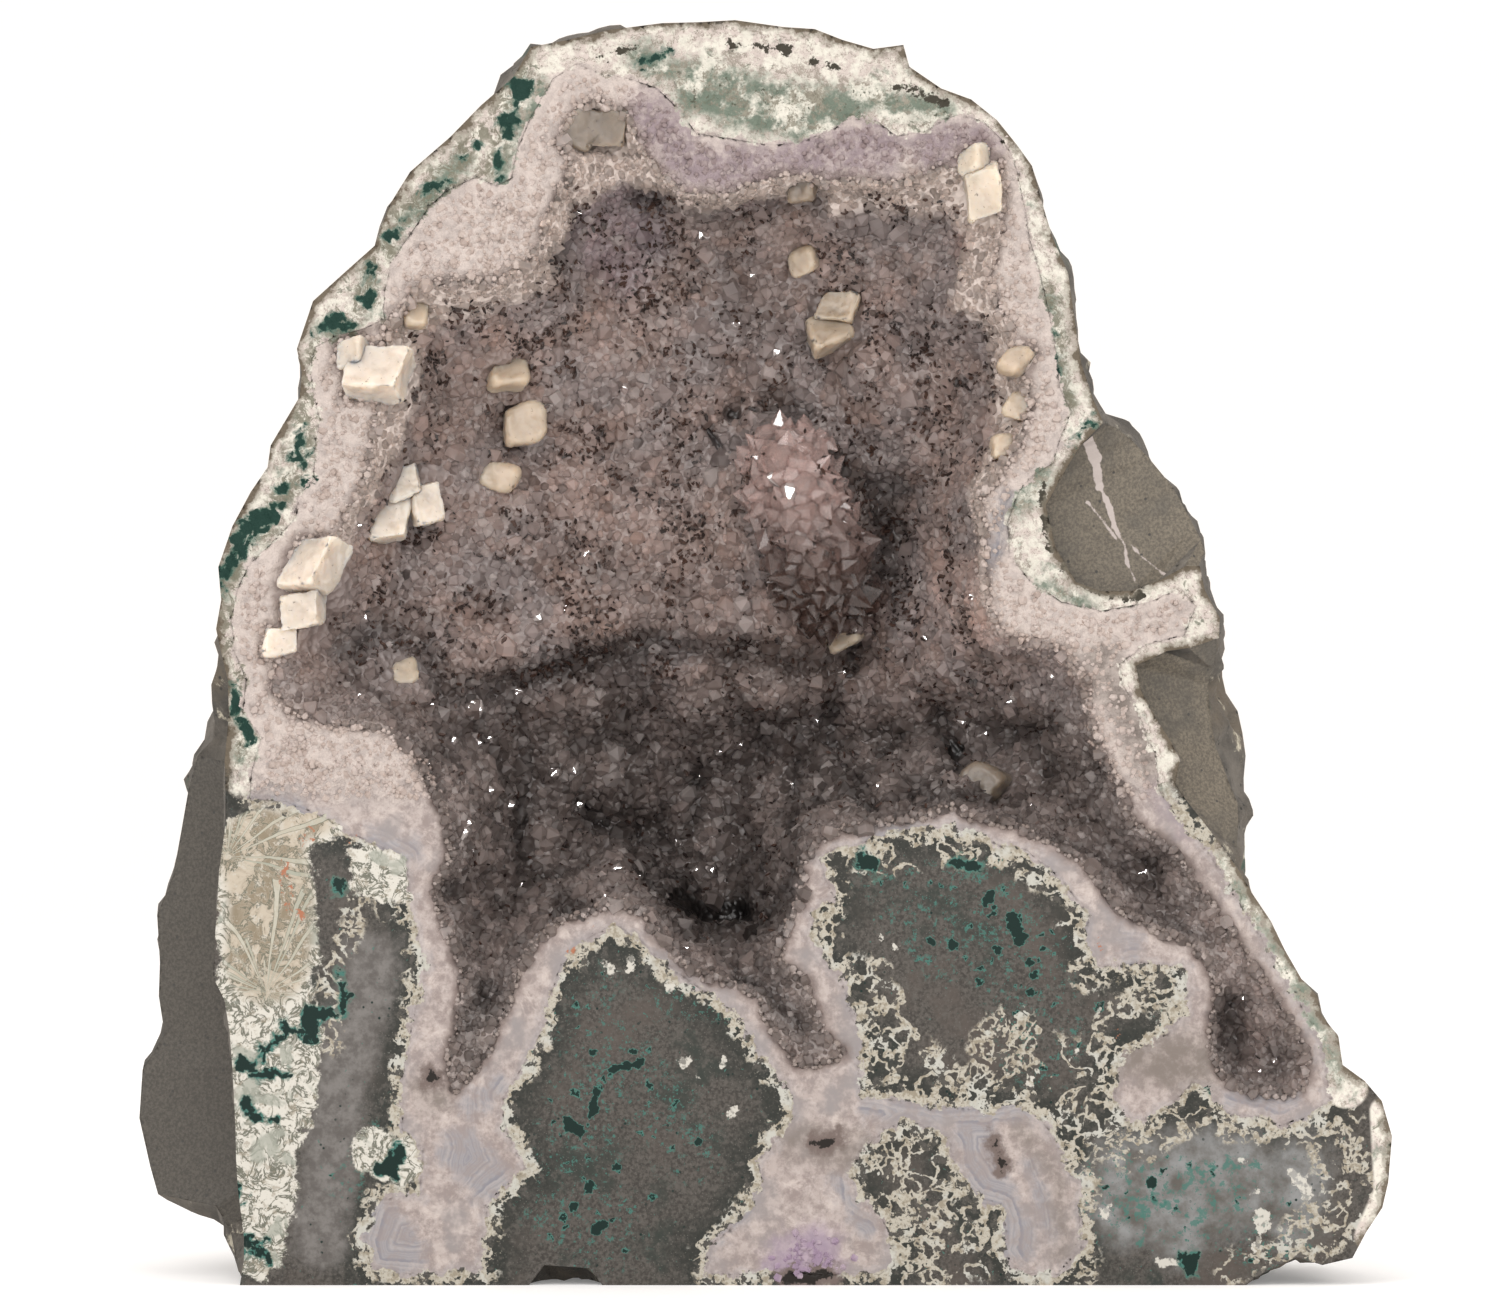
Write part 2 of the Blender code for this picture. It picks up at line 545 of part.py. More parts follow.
def boolean(target, other, operation):
    """Apply a Boolean of one object on another and remove the other."""
    modifier = target.modifiers.new("boolean", "BOOLEAN")
    modifier.operation = operation
    modifier.solver = "EXACT"
    modifier.object = other
    shaped = bpy.data.meshes.new_from_object(target.evaluated_get(bpy.context.evaluated_depsgraph_get()))
    target.modifiers.clear()
    target.data = shaped
    bpy.data.objects.remove(other)


def centre_on_base(objects):
    """Move every mesh so that the origin is the bottom centre of the whole."""
    points = [v.co for made in objects for v in made.data.vertices]
    x = (min(p.x for p in points) + max(p.x for p in points)) / 2
    y = (min(p.y for p in points) + max(p.y for p in points)) / 2
    for made in objects:
        made.data.transform(Matrix.Translation((-x, -y, 0)))
    print("moved by", round(-x, 6), round(-y, 6))


def main():
    for old in list(bpy.data.objects):
        bpy.data.objects.remove(old)
    basalt = principled("basalt", (0.095, 0.085, 0.075), 0.55)
    quartz = principled("quartz", (0.42, 0.36, 0.38), 0.25, 0.3)
    calcite = principled("calcite", (0.72, 0.64, 0.50), 0.35)
    outline = face_outline()
    crust_edge = flat_points(CRUST_EDGE)
    mouth = flat_points(MOUTH)
    lattice = lattice_points(mouth, LATTICE)
    wall = lattice_points(mouth, WALL_LATTICE)
    matrix = matrix_solid(outline, crust_edge, mouth, wall, basalt)
    crust = crust_solid(crust_edge, mouth, lattice, wall, quartz)
    made = [matrix, crust]
    for name, blocks in CALCITES.items():
        pocket = calcite_group(name, blocks, mouth, calcite, GAP)
        boolean(crust, pocket, "DIFFERENCE")
        made.append(calcite_group(name, blocks, mouth, calcite))
    centre_on_base(made)


main()
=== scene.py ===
import json
import math

import bpy
import numpy as np
from mathutils import Euler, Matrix, Vector, kdtree, noise

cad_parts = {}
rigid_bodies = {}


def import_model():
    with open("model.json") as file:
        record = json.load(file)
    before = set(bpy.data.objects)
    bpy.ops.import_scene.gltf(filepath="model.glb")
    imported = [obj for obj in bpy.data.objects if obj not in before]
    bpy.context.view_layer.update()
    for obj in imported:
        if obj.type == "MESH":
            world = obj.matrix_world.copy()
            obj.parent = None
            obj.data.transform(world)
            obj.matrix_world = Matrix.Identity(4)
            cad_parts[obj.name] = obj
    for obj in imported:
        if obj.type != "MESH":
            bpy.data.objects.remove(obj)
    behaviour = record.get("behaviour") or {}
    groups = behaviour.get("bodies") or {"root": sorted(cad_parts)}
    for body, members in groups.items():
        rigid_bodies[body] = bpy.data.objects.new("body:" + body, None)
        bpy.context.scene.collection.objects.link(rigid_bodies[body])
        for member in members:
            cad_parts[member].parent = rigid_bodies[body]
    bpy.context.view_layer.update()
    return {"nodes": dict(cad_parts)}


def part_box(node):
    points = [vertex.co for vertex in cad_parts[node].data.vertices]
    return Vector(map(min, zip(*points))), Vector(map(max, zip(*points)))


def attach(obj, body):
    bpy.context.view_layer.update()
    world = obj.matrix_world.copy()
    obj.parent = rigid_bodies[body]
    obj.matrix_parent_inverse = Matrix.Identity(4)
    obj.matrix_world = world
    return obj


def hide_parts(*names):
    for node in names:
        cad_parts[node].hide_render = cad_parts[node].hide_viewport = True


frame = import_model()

# the front view: one pixel of the 1500 x 1300 picture on the sawn face, and where it sits
picture = {"pixel": 0.334 / 1266, "middleColumn": 763.5, "groundRow": 1283, "aside": 0.0015}
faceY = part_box("basalt_matrix")[0].y


def onFace(column, row):
    # place (x, z) on the sawn face of a point of the picture
    x = (column - picture["middleColumn"]) * picture["pixel"] + picture["aside"]
    return x, (picture["groundRow"] - row) * picture["pixel"]


# camera, light and floor

shot = {"distance": 1.5, "height": 0.11, "column": 750, "row": 650, "width": 1500, "sensor": 36}

aimX, aimZ = onFace(shot["column"], shot["row"])
cameraData = bpy.data.cameras.new("camera")
camera = bpy.data.objects.new("camera", cameraData)
bpy.context.scene.collection.objects.link(camera)
camera.location = (aimX, faceY - shot["distance"], shot["height"])
rise = aimZ - shot["height"]
camera.rotation_euler = (math.pi / 2 + math.atan2(rise, shot["distance"]), 0, 0)
cameraData.sensor_width = shot["sensor"]
cameraData.lens = (shot["sensor"] * math.hypot(rise, shot["distance"])
                   / (shot["width"] * picture["pixel"]))
bpy.context.scene.camera = camera
bpy.context.scene.view_settings.view_transform = "Standard"

studio = {"world": 1.10, "worldColour": (1.0, 0.95, 0.91),
          "lamps": [("keyLamp", (-0.8, -1.7, 1.3), 1.0, 12.0),
                    ("fillLamp", (1.0, -1.7, 0.6), 1.0, 6.0),
                    ("topLamp", (0.1, -0.5, 1.8), 1.0, 4.0),
                    ("sparkLeft", (-0.34, -1.9, 0.34), 0.10, 1.8),
                    ("sparkRight", (0.36, -1.9, 0.42), 0.10, 1.8),
                    ("sparkAbove", (0.0, -1.9, 0.72), 0.10, 1.8)]}

world = bpy.data.worlds.new("studio")
bpy.context.scene.world = world
world.use_nodes = True
world.node_tree.nodes["Background"].inputs["Strength"].default_value = studio["world"]
world.node_tree.nodes["Background"].inputs["Color"].default_value = (*studio["worldColour"], 1)
for lampName, lampPlace, lampSize, lampPower in studio["lamps"]:
    lampData = bpy.data.lights.new(lampName, "AREA")
    lampData.size = lampSize
    lampData.energy = lampPower
    lamp = bpy.data.objects.new(lampName, lampData)
    lamp.location = lampPlace
    toward = Vector((0, faceY, 0.16)) - Vector(lampPlace)
    lamp.rotation_euler = toward.to_track_quat("-Z", "Y").to_euler()
    bpy.context.scene.collection.objects.link(lamp)
print("camera and lamps set")


# helpers for shapes

def deselectAll():
    if bpy.context.object and bpy.context.object.mode != "OBJECT":
        bpy.ops.object.mode_set(mode="OBJECT")
    bpy.ops.object.select_all(action="DESELECT")


def takeUp(piece):
    # makes a piece the only selected and active one
    deselectAll()
    piece.select_set(True)
    bpy.context.view_layer.objects.active = piece


def copyOf(nodeName, pieceName):
    # merged copy of a CAD node, which keeps its place in the mesh
    piece = bpy.data.objects.new(pieceName, frame["nodes"][nodeName].data.copy())
    bpy.context.scene.collection.objects.link(piece)
    piece.data.name = pieceName
    piece.data.materials.clear()
    takeUp(piece)
    bpy.ops.object.mode_set(mode="EDIT")
    bpy.ops.mesh.select_all(action="SELECT")
    bpy.ops.mesh.remove_doubles(threshold=0.00002)
    bpy.ops.mesh.quads_convert_to_tris()
    bpy.ops.object.mode_set(mode="OBJECT")
    bpy.ops.object.shade_flat()
    return piece


def readAll(parts, name, kind=np.float32, width=1):
    # one value, or one row of values, for every part of a mesh
    values = np.empty(len(parts) * width, kind)
    parts.foreach_get(name, values)
    return values.reshape(-1, width) if width > 1 else values


def vertexPlaces(mesh):
    return readAll(mesh.vertices, "co", width=3).astype(float)


def vertexNormals(mesh):
    return readAll(mesh.vertices, "normal", width=3).astype(float)


def setPlaces(mesh, places):
    mesh.vertices.foreach_set("co", places.astype(np.float32).ravel())
    mesh.update()


def faceFacts(mesh):
    # middle, normal, area and finish number of every face
    faces = mesh.polygons
    return (readAll(faces, "center", width=3), readAll(faces, "normal", width=3),
            readAll(faces, "area"), readAll(faces, "material_index", np.int32))


def edgeEnds(mesh):
    return readAll(mesh.edges, "vertices", np.int32, 2)


def onSawnFace(mesh):
    # which faces lie in the sawn plane
    middles, normals = faceFacts(mesh)[:2]
    return (normals[:, 1] < -0.999) & (np.abs(middles[:, 1] - faceY) < 0.0002)


def clearSelection(mesh):
    for part in (mesh.vertices, mesh.edges, mesh.polygons):
        part.foreach_set("select", np.zeros(len(part), bool))


def spreadFrom(mesh, starts, walls):
    # face numbers reached from the start faces without crossing into a wall face
    edgeFaces = {}
    for face in mesh.polygons:
        for key in face.edge_keys:
            edgeFaces.setdefault(key, []).append(face.index)
    reached = set(starts)
    waiting = list(starts)
    while waiting:
        face = mesh.polygons[waiting.pop()]
        for key in face.edge_keys:
            for other in edgeFaces[key]:
                if other not in reached and not walls[other]:
                    reached.add(other)
                    waiting.append(other)
    return sorted(reached)


def vertexMask(mesh, finishNumbers):
    # which vertices belong to faces of these finishes
    chosen = np.isin(readAll(mesh.polygons, "material_index", np.int32), finishNumbers)
    sides = readAll(mesh.polygons, "loop_total", np.int32)
    mask = np.zeros(len(mesh.vertices), bool)
    mask[readAll(mesh.loops, "vertex_index", np.int32)[np.repeat(chosen, sides)]] = True
    return mask


def smoothPlaces(piece, chosen, passes):
    # smooths the chosen vertices only
    clearSelection(piece.data)
    piece.data.vertices.foreach_set("select", chosen)
    takeUp(piece)
    bpy.context.tool_settings.mesh_select_mode = (True, False, False)
    bpy.ops.object.mode_set(mode="EDIT")
    bpy.ops.mesh.vertices_smooth(factor=0.5, repeat=passes)
    bpy.ops.object.mode_set(mode="OBJECT")


def splitLongEdges(piece, longest, finishNumbers, turns=8, tidyTurns=0):
    # halves every edge of these finishes that is longer than longest, a length or one by place
    takeUp(piece)
    bpy.context.tool_settings.mesh_select_mode = (False, True, False)
    for turn in range(turns):
        mesh = piece.data
        places, ends = vertexPlaces(mesh), edgeEnds(mesh)
        inside = vertexMask(mesh, finishNumbers)
        first, second = places[ends[:, 0]], places[ends[:, 1]]
        length = np.linalg.norm(first - second, axis=1)
        limit = longest((first + second) / 2) if callable(longest) else longest
        picked = (length > limit) & inside[ends[:, 0]] & inside[ends[:, 1]]
        if not picked.any():
            break
        clearSelection(mesh)
        mesh.edges.foreach_set("select", picked)
        bpy.ops.object.mode_set(mode="EDIT")
        bpy.ops.mesh.subdivide(number_cuts=1)
        bpy.ops.mesh.select_all(action="SELECT")
        bpy.ops.mesh.quads_convert_to_tris(quad_method="SHORTEST_DIAGONAL")
        bpy.ops.object.mode_set(mode="OBJECT")
        if turn < tidyTurns:
            mesh = piece.data
            normals, finishes = faceFacts(mesh)[1], faceFacts(mesh)[3]
            flat = (normals[:, 1] < -0.9999) & (finishes == 0)
            clearSelection(mesh)
            mesh.polygons.foreach_set("select", flat)
            bpy.context.tool_settings.mesh_select_mode = (False, False, True)
            bpy.ops.object.mode_set(mode="EDIT")
            bpy.ops.mesh.beautify_fill(angle_limit=0.02)
            bpy.ops.object.mode_set(mode="OBJECT")
            bpy.context.tool_settings.mesh_select_mode = (False, True, False)
    bpy.context.tool_settings.mesh_select_mode = (True, False, False)


def loopSegments(mesh, inFace):
    # border of a set of faces, as rows (x1, z1, x2, z2)
    count = {}
    for face in mesh.polygons:
        if inFace[face.index]:
            for key in face.edge_keys:
                count[key] = count.get(key, 0) + 1
    corners = mesh.vertices
    return np.array([(corners[a].co.x, corners[a].co.z, corners[b].co.x, corners[b].co.z)
                     for (a, b), times in count.items() if times == 1])


def distanceTo(segments, places):
    # distance on the sawn face from each place to the nearest segment
    nearest = np.full(len(places), 1.0)
    x, z = places[:, 0], places[:, 2]
    for x1, z1, x2, z2 in segments:
        runX, runZ = x2 - x1, z2 - z1
        along = ((x - x1) * runX + (z - z1) * runZ) / max(runX ** 2 + runZ ** 2, 1e-12)
        along = np.clip(along, 0, 1)
        nearest = np.minimum(nearest, np.hypot(x - x1 - along * runX, z - z1 - along * runZ))
    return nearest


def strokeField(strokes, places, furthest=0.02):
    # metres inside the nearest stroke: its radius in pixels, then column and row of each point
    best = np.full(len(places), -furthest)
    for radius, *numbers in strokes:
        spots = [onFace(*point) for point in zip(numbers[::2], numbers[1::2])]
        segments = [(*a, *b) for a, b in zip(spots, spots[1:] or spots)]
        best = np.maximum(best, radius * picture["pixel"] - distanceTo(segments, places))
    return best


def addField(mesh, name, values):
    field = mesh.attributes.new(name, "FLOAT", "POINT")
    field.data.foreach_set("value", np.asarray(values, np.float32))


def ease(values, low, high):
    share = np.clip((values - low) / (high - low), 0, 1)
    return share * share * (3 - 2 * share)


def roughNoise(places, scale, octaves=3, seed=0.0):
    # fractal noise at each place, about -1 to 1
    shift = Vector((seed, seed * 0.7, -seed))
    return np.array([noise.fractal(Vector(p) * scale + shift, 0.7, 2.1, octaves) for p in places])


def brokenRelief(places, scale):
    return roughNoise(places, scale, 4, 2.0) + 0.7 * roughNoise(places, 520, 2, 7.0)


# helpers for materials

def plug(tree, socket, value):
    if isinstance(value, bpy.types.NodeSocket):
        tree.links.new(value, socket)
    elif isinstance(value, tuple) and len(value) == 3 and socket.type == "RGBA":
        socket.default_value = (*value, 1.0)
    else:
        socket.default_value = value


def calc(tree, how, *values):
    node = tree.nodes.new("ShaderNodeMath")
    node.operation = how
    for socket, value in zip(node.inputs, values):
        plug(tree, socket, value)
    return node.outputs[0]


def times(tree, first, second):
    return calc(tree, "MULTIPLY", first, second)


def plus(tree, first, second):
    return calc(tree, "ADD", first, second)


def climb(tree, value, low, high, bottom=0.0, top=1.0):
    # eases from bottom at low to top at high
    node = tree.nodes.new("ShaderNodeMapRange")
    node.interpolation_type = "SMOOTHSTEP"
    for socket, given in zip(node.inputs, (value, low, high, bottom, top)):
        plug(tree, socket, given)
    return node.outputs[0]


def mixed(tree, share, first, second):
    node = tree.nodes.new("ShaderNodeMix")
    node.data_type = "RGBA"
    plug(tree, node.inputs[0], share)
    plug(tree, node.inputs[6], first)
    plug(tree, node.inputs[7], second)
    return node.outputs[2]


def layered(tree, base, *coats):
    # lays coats of (share, colour) over a base, one after the other
    for share, colour in coats:
        base = mixed(tree, share, base, colour)
    return base


def objectPlace(tree):
    node = tree.nodes.get("place") or tree.nodes.new("ShaderNodeTexCoord")
    node.name = "place"
    return node.outputs["Object"]


def placeAlong(tree, axis):
    node = tree.nodes.get("apart") or tree.nodes.new("ShaderNodeSeparateXYZ")
    if node.name != "apart":
        node.name = "apart"
        tree.links.new(objectPlace(tree), node.inputs[0])
    return node.outputs[axis]


def cloud(tree, scale, detail=4.0, roughness=0.6, twist=0.0):
    node = tree.nodes.new("ShaderNodeTexNoise")
    plug(tree, node.inputs["Vector"], objectPlace(tree))
    for socket, value in zip(("Scale", "Detail", "Roughness", "Distortion"),
                             (scale, detail, roughness, twist)):
        node.inputs[socket].default_value = value
    return node.outputs[0]


def around(tree, scale, detail=4.0, roughness=0.6, twist=0.0):
    # noise about zero
    return calc(tree, "SUBTRACT", cloud(tree, scale, detail, roughness, twist), 0.5)


def clouded(tree, scale, low, high, detail=4.0, roughness=0.6, twist=0.0, bottom=0.0, top=1.0):
    # soft patches: noise that climbs from bottom to top
    return climb(tree, cloud(tree, scale, detail, roughness, twist), low, high, bottom, top)


def cells(tree, scale):
    node = tree.nodes.new("ShaderNodeTexVoronoi")
    plug(tree, node.inputs["Vector"], objectPlace(tree))
    node.inputs["Scale"].default_value = scale
    return node.outputs[0]


def field(tree, name, output="Fac"):
    node = tree.nodes.new("ShaderNodeAttribute")
    node.attribute_name = name
    return node.outputs[output]


def colourParts(tree, texture):
    # the three random numbers that a cell texture gives each cell
    node = tree.nodes.new("ShaderNodeSeparateColor")
    tree.links.new(texture.outputs["Color"], node.inputs[0])
    return node.outputs


def alongOne(tree, kind, where, detail=None):
    # a texture of one dimension
    node = tree.nodes.new(kind)
    setattr(node, "voronoi_dimensions" if "Voronoi" in kind else "noise_dimensions", "1D")
    plug(tree, node.inputs["W"], where)
    node.inputs["Scale"].default_value = 1.0
    if detail is not None:
        node.inputs["Detail"].default_value = detail
    return node


def bumped(tree, height, strength, distance):
    node = tree.nodes.new("ShaderNodeBump")
    node.inputs["Strength"].default_value = strength
    node.inputs["Distance"].default_value = distance
    plug(tree, node.inputs["Height"], height)
    return node.outputs[0]


def newFinish(name, roughness=0.5, ior=1.5):
    material = bpy.data.materials.new(name)
    material.use_nodes = True
    shader = material.node_tree.nodes["Principled BSDF"]
    shader.inputs["Roughness"].default_value = roughness
    shader.inputs["IOR"].default_value = ior
    return material, material.node_tree, shader


def paint(tree, shader, colour, relief=None, strength=0.0, distance=0.0):
    plug(tree, shader.inputs["Base Color"], colour)
    if relief is not None:
        plug(tree, shader.inputs["Normal"], bumped(tree, relief, strength, distance))


tones = {
    "basaltDark": (0.037, 0.033, 0.029), "basaltLight": (0.086, 0.078, 0.069),
    "basaltBrown": (0.072, 0.060, 0.052), "basaltGreen": (0.029, 0.034, 0.029),
    "basaltFleck": (0.115, 0.108, 0.098), "basaltShade": (0.018, 0.021, 0.018),
    "cream": (0.37, 0.345, 0.29), "creamTan": (0.235, 0.205, 0.155),
    "creamCool": (0.41, 0.41, 0.375),
    "quartz": (0.240, 0.200, 0.188), "quartzPale": (0.40, 0.348, 0.325),
    "quartzBright": (0.50, 0.435, 0.40), "quartzGrey": (0.235, 0.212, 0.208),
    "quartzBrown": (0.205, 0.160, 0.145), "lilac": (0.238, 0.187, 0.203),
    "chalcedony": (0.188, 0.183, 0.204), "chalcedonyPale": (0.30, 0.280, 0.278),
    "quartzDusk": (0.165, 0.140, 0.124),
    "greenDark": (0.003, 0.015, 0.012), "greenGrey": (0.075, 0.130, 0.105),
    "greenDeep": (0.010, 0.034, 0.026), "greenSoft": (0.030, 0.075, 0.057),
    "greenPale": (0.085, 0.130, 0.102),
    "teal": (0.045, 0.130, 0.108), "footGrey": (0.205, 0.208, 0.207),
    "ivory": (0.61, 0.585, 0.515), "rindGrey": (0.18, 0.16, 0.125), "mint": (0.135, 0.165, 0.130),
    "white": (0.50, 0.48, 0.43), "rust": (0.31, 0.125, 0.070), "purple": (0.27, 0.205, 0.28),
    "skinBrown": (0.12, 0.098, 0.072), "skinGrey": (0.14, 0.125, 0.106),
}


# the sawn face: one finish for the rock and the sawn quartz round the hollow

# zones of the sawn face as strokes over the picture
zones = {
    "loops": [(34, 862, 985, 880, 1030, 930, 1080), (22, 960, 1085, 1010, 1085),
              (44, 1010, 1050, 1062, 1090, 1130, 1125), (26, 1095, 1060, 1120, 1020),
              (26, 1150, 990, 1190, 975), (20, 868, 862, 930, 850, 1000, 846),
              (18, 1000, 850, 1062, 884), (12, 838, 880, 826, 930, 848, 975),
              (52, 880, 1170, 925, 1150, 960, 1195, 930, 1245), (26, 890, 1225, 990, 1255),
              (18, 1072, 1130, 1082, 1270), (16, 1100, 1140, 1140, 1150, 1200, 1110),
              (20, 1075, 930, 1090, 975), (18, 1225, 1122, 1280, 1130, 1340, 1105),
              (30, 1330, 1120, 1352, 1200), (30, 1300, 1240, 1350, 1210),
              (20, 400, 870, 392, 900), (14, 345, 945, 360, 900), (12, 420, 960, 408, 1060),
              (22, 425, 1150, 445, 1240), (26, 398, 1150), (14, 505, 1170),
              (16, 330, 960, 332, 1040), (16, 1230, 1265, 1290, 1240)],
    "zeolite": [(50, 262, 860, 270, 960, 262, 1000), (40, 268, 1010, 272, 1100),
                (18, 240, 845, 330, 822), (36, 268, 1110, 262, 1190), (26, 262, 1200, 260, 1250),
                (18, 306, 1030, 300, 1110), (22, 372, 1150, 400, 1160), (24, 395, 880, 372, 870)],
    "greenPatch": [(5, 270, 1046, 292, 1030, 308, 1032), (3, 262, 1044, 264, 1072),
                   (3.5, 244, 1064, 262, 1074, 290, 1068), (3, 246, 1096, 252, 1118, 276, 1116),
                   (7, 312, 1016, 328, 1012), (6, 378, 1172, 392, 1166, 402, 1148),
                   (7, 458, 1123, 492, 1123), (8, 246, 1238, 262, 1250), (10, 1190, 1262),
                   (4, 240, 1180, 244, 1200), (4, 340, 975, 345, 1010), (4, 336, 890),
                   (5, 1210, 1085), (5.5, 518, 84, 509, 127, 496, 158), (4, 503, 178),
                   (5, 478, 142, 461, 157), (4.5, 440, 180, 414, 199), (4, 410, 206, 388, 236),
                   (6, 368, 268, 367, 302), (5, 318, 330, 336, 322, 352, 326), (4, 361, 338),
                   (5, 302, 434, 291, 462), (3.5, 279, 488, 311, 484), (7, 272, 508, 246, 532),
                   (5, 243, 528, 226, 572), (4, 221, 590), (4.5, 232, 690, 239, 716, 250, 742),
                   (7, 1072, 440, 1085, 425), (3, 640, 60, 664, 52), (3.5, 1052, 330, 1058, 380),
                   (6, 858, 862, 876, 870), (4, 948, 862, 975, 866)],
    # small holes in the quartz, painted dark as shade
    "vugs": [(5, 994, 1140, 1001, 1162), (5, 816, 1142, 838, 1138), (7, 790, 1275, 826, 1273),
             (6, 432, 1078)],
    "vesicles": [(8, 1013, 918, 1018, 938), (5, 930, 942), (6.5, 952, 945), (5, 998, 950),
                 (5, 1030, 963), (4.5, 1033, 975), (5, 1030, 992), (5, 990, 893, 986, 902),
                 (4, 995, 908), (4, 1007, 888), (4.5, 977, 982), (5, 1098, 1006),
                 (5, 596, 1090, 594, 1112), (7, 568, 1122, 580, 1130), (5, 612, 1068, 640, 1062),
                 (5, 650, 1085), (4, 593, 1052), (3.5, 632, 1050), (7, 590, 1185), (5, 616, 1165),
                 (8, 600, 1225), (5, 575, 1205), (4, 700, 1140), (6, 1150, 1180), (4, 655, 1195),
                 (4, 640, 1130)],
    "tealPatch": [(12, 1128, 1210, 1165, 1198), (12, 1186, 1180, 1206, 1172),
                  (9, 1226, 1165, 1250, 1158), (8, 1190, 1215, 1230, 1205), (8, 1140, 1240),
                  (5, 640, 925)],
    "spotted": [(46, 610, 1050, 590, 1110, 560, 1190, 600, 1230), (34, 650, 1090, 690, 1150),
                (18, 560, 1020, 600, 985), (16, 650, 1000, 720, 1010), (14, 870, 880, 990, 870),
                (46, 960, 900, 1020, 960, 1040, 1040), (26, 900, 910, 940, 950),
                (44, 1110, 1190, 1200, 1200, 1270, 1230), (20, 400, 1120, 350, 1180)],
    "whitePatch": [(7, 1262, 1210, 1256, 1240), (7, 1290, 1172, 1306, 1190), (5, 1240, 1160),
                   (5, 1252, 1190), (6, 685, 1063), (7, 722, 1065), (4, 697, 1076),
                   (5, 735, 1108), (4, 882, 940), (4, 893, 945), (5, 1105, 1208), (6, 1048, 1120),
                   (5, 1076, 1050), (5, 1030, 1082), (7, 610, 968), (6, 630, 965), (6, 668, 985),
                   (5, 1162, 1262, 1180, 1255)],
    "chalcedony": [(12, 870, 1108, 1020, 1110), (22, 975, 1125, 985, 1180, 1012, 1240),
                   (7, 1030, 1160, 1050, 1235), (15, 300, 812, 232, 808),
                   (13, 372, 845, 410, 850), (10, 335, 880, 340, 920), (26, 372, 1215, 400, 1250),
                   (22, 460, 1150, 490, 1180), (12, 1376, 1150, 1376, 1200),
                   (8, 866, 838, 920, 830), (10, 840, 1185, 868, 1225),
                   (10, 745, 1210, 720, 1232), (10, 500, 1085, 470, 1108),
                   (9, 1290, 1100, 1230, 1100), (9, 1010, 500, 990, 560),
                   (10, 1130, 1000, 1130, 940)],
    "lilac": [(26, 650, 110, 690, 165, 760, 165), (30, 800, 155, 880, 145),
              (24, 930, 145, 980, 140), (10, 1185, 830, 1160, 790)],
    "purple": [(22, 790, 1262, 815, 1250), (26, 810, 1270)],
    "quartzShade": [(30, 1130, 1045, 1190, 1065), (16, 1100, 660, 1150, 760),
                    (16, 800, 1140, 860, 1150), (10, 420, 1085, 440, 1100),
                    (5, 1020, 1130, 1058, 1180, 1062, 1250)],
    "dirt": [(12, 520, 60, 500, 110, 490, 165),
             (13, 480, 130, 440, 175, 400, 215, 372, 260, 362, 300, 340, 322),
             (13, 325, 335, 312, 380, 303, 430, 296, 460, 285, 495, 262, 520, 240, 550, 228, 590),
             (13, 226, 620, 236, 690, 245, 745), (8, 1052, 290, 1070, 400)],
    # the last stroke is a painted shadow seam along the lower left of the right lump, the others
    # cracks in the rind
    "cracks": [(1.8, 714, 40, 750, 42, 790, 48), (1.6, 812, 60, 842, 66),
               (2.0, 896, 84, 946, 100), (1.4, 600, 52, 636, 46), (1.6, 960, 118, 1000, 140),
               (3.0, 1043, 486, 1046, 520, 1056, 556, 1078, 580, 1108, 595, 1140, 597)],
    "footGrey": [(52, 1130, 1190, 1230, 1180), (22, 1180, 1240), (26, 1300, 1160, 1290, 1220)],
    "stripeGrey": [(24, 372, 960, 340, 1090, 322, 1240)],
    "mint": [(30, 700, 85, 760, 105, 840, 115), (14, 640, 55, 690, 80), (14, 860, 95, 940, 110),
             (8, 1050, 300, 1064, 400), (8, 520, 80, 500, 180), (8, 440, 180, 385, 240),
             (8, 368, 270, 366, 310), (8, 320, 330, 350, 330), (8, 268, 513, 225, 590),
             (6, 300, 440, 288, 480), (14, 1020, 500, 1040, 470), (7, 1036, 580, 1090, 606),
             (10, 250, 700, 240, 760), (10, 540, 90, 520, 140), (12, 460, 160, 420, 210),
             (8, 1216, 860, 1300, 985), (8, 1300, 990, 1340, 1080)],
    "rust": [(7, 308, 835), (7, 354, 833), (5, 282, 868, 300, 920), (5, 608, 74), (3, 1117, 1032),
             (4, 1150, 1043), (4, 1100, 942), (3, 572, 950), (3, 590, 925), (3, 622, 923),
             (3, 1050, 300, 1052, 350)],
}


# heights and distances at which the sawn face changes
faceChanges = {"polishedTo": 0.126, "unpolishedFrom": 0.134, "rindAbove": 0.146,
               "rindBelow": 0.116, "seam": 0.004}


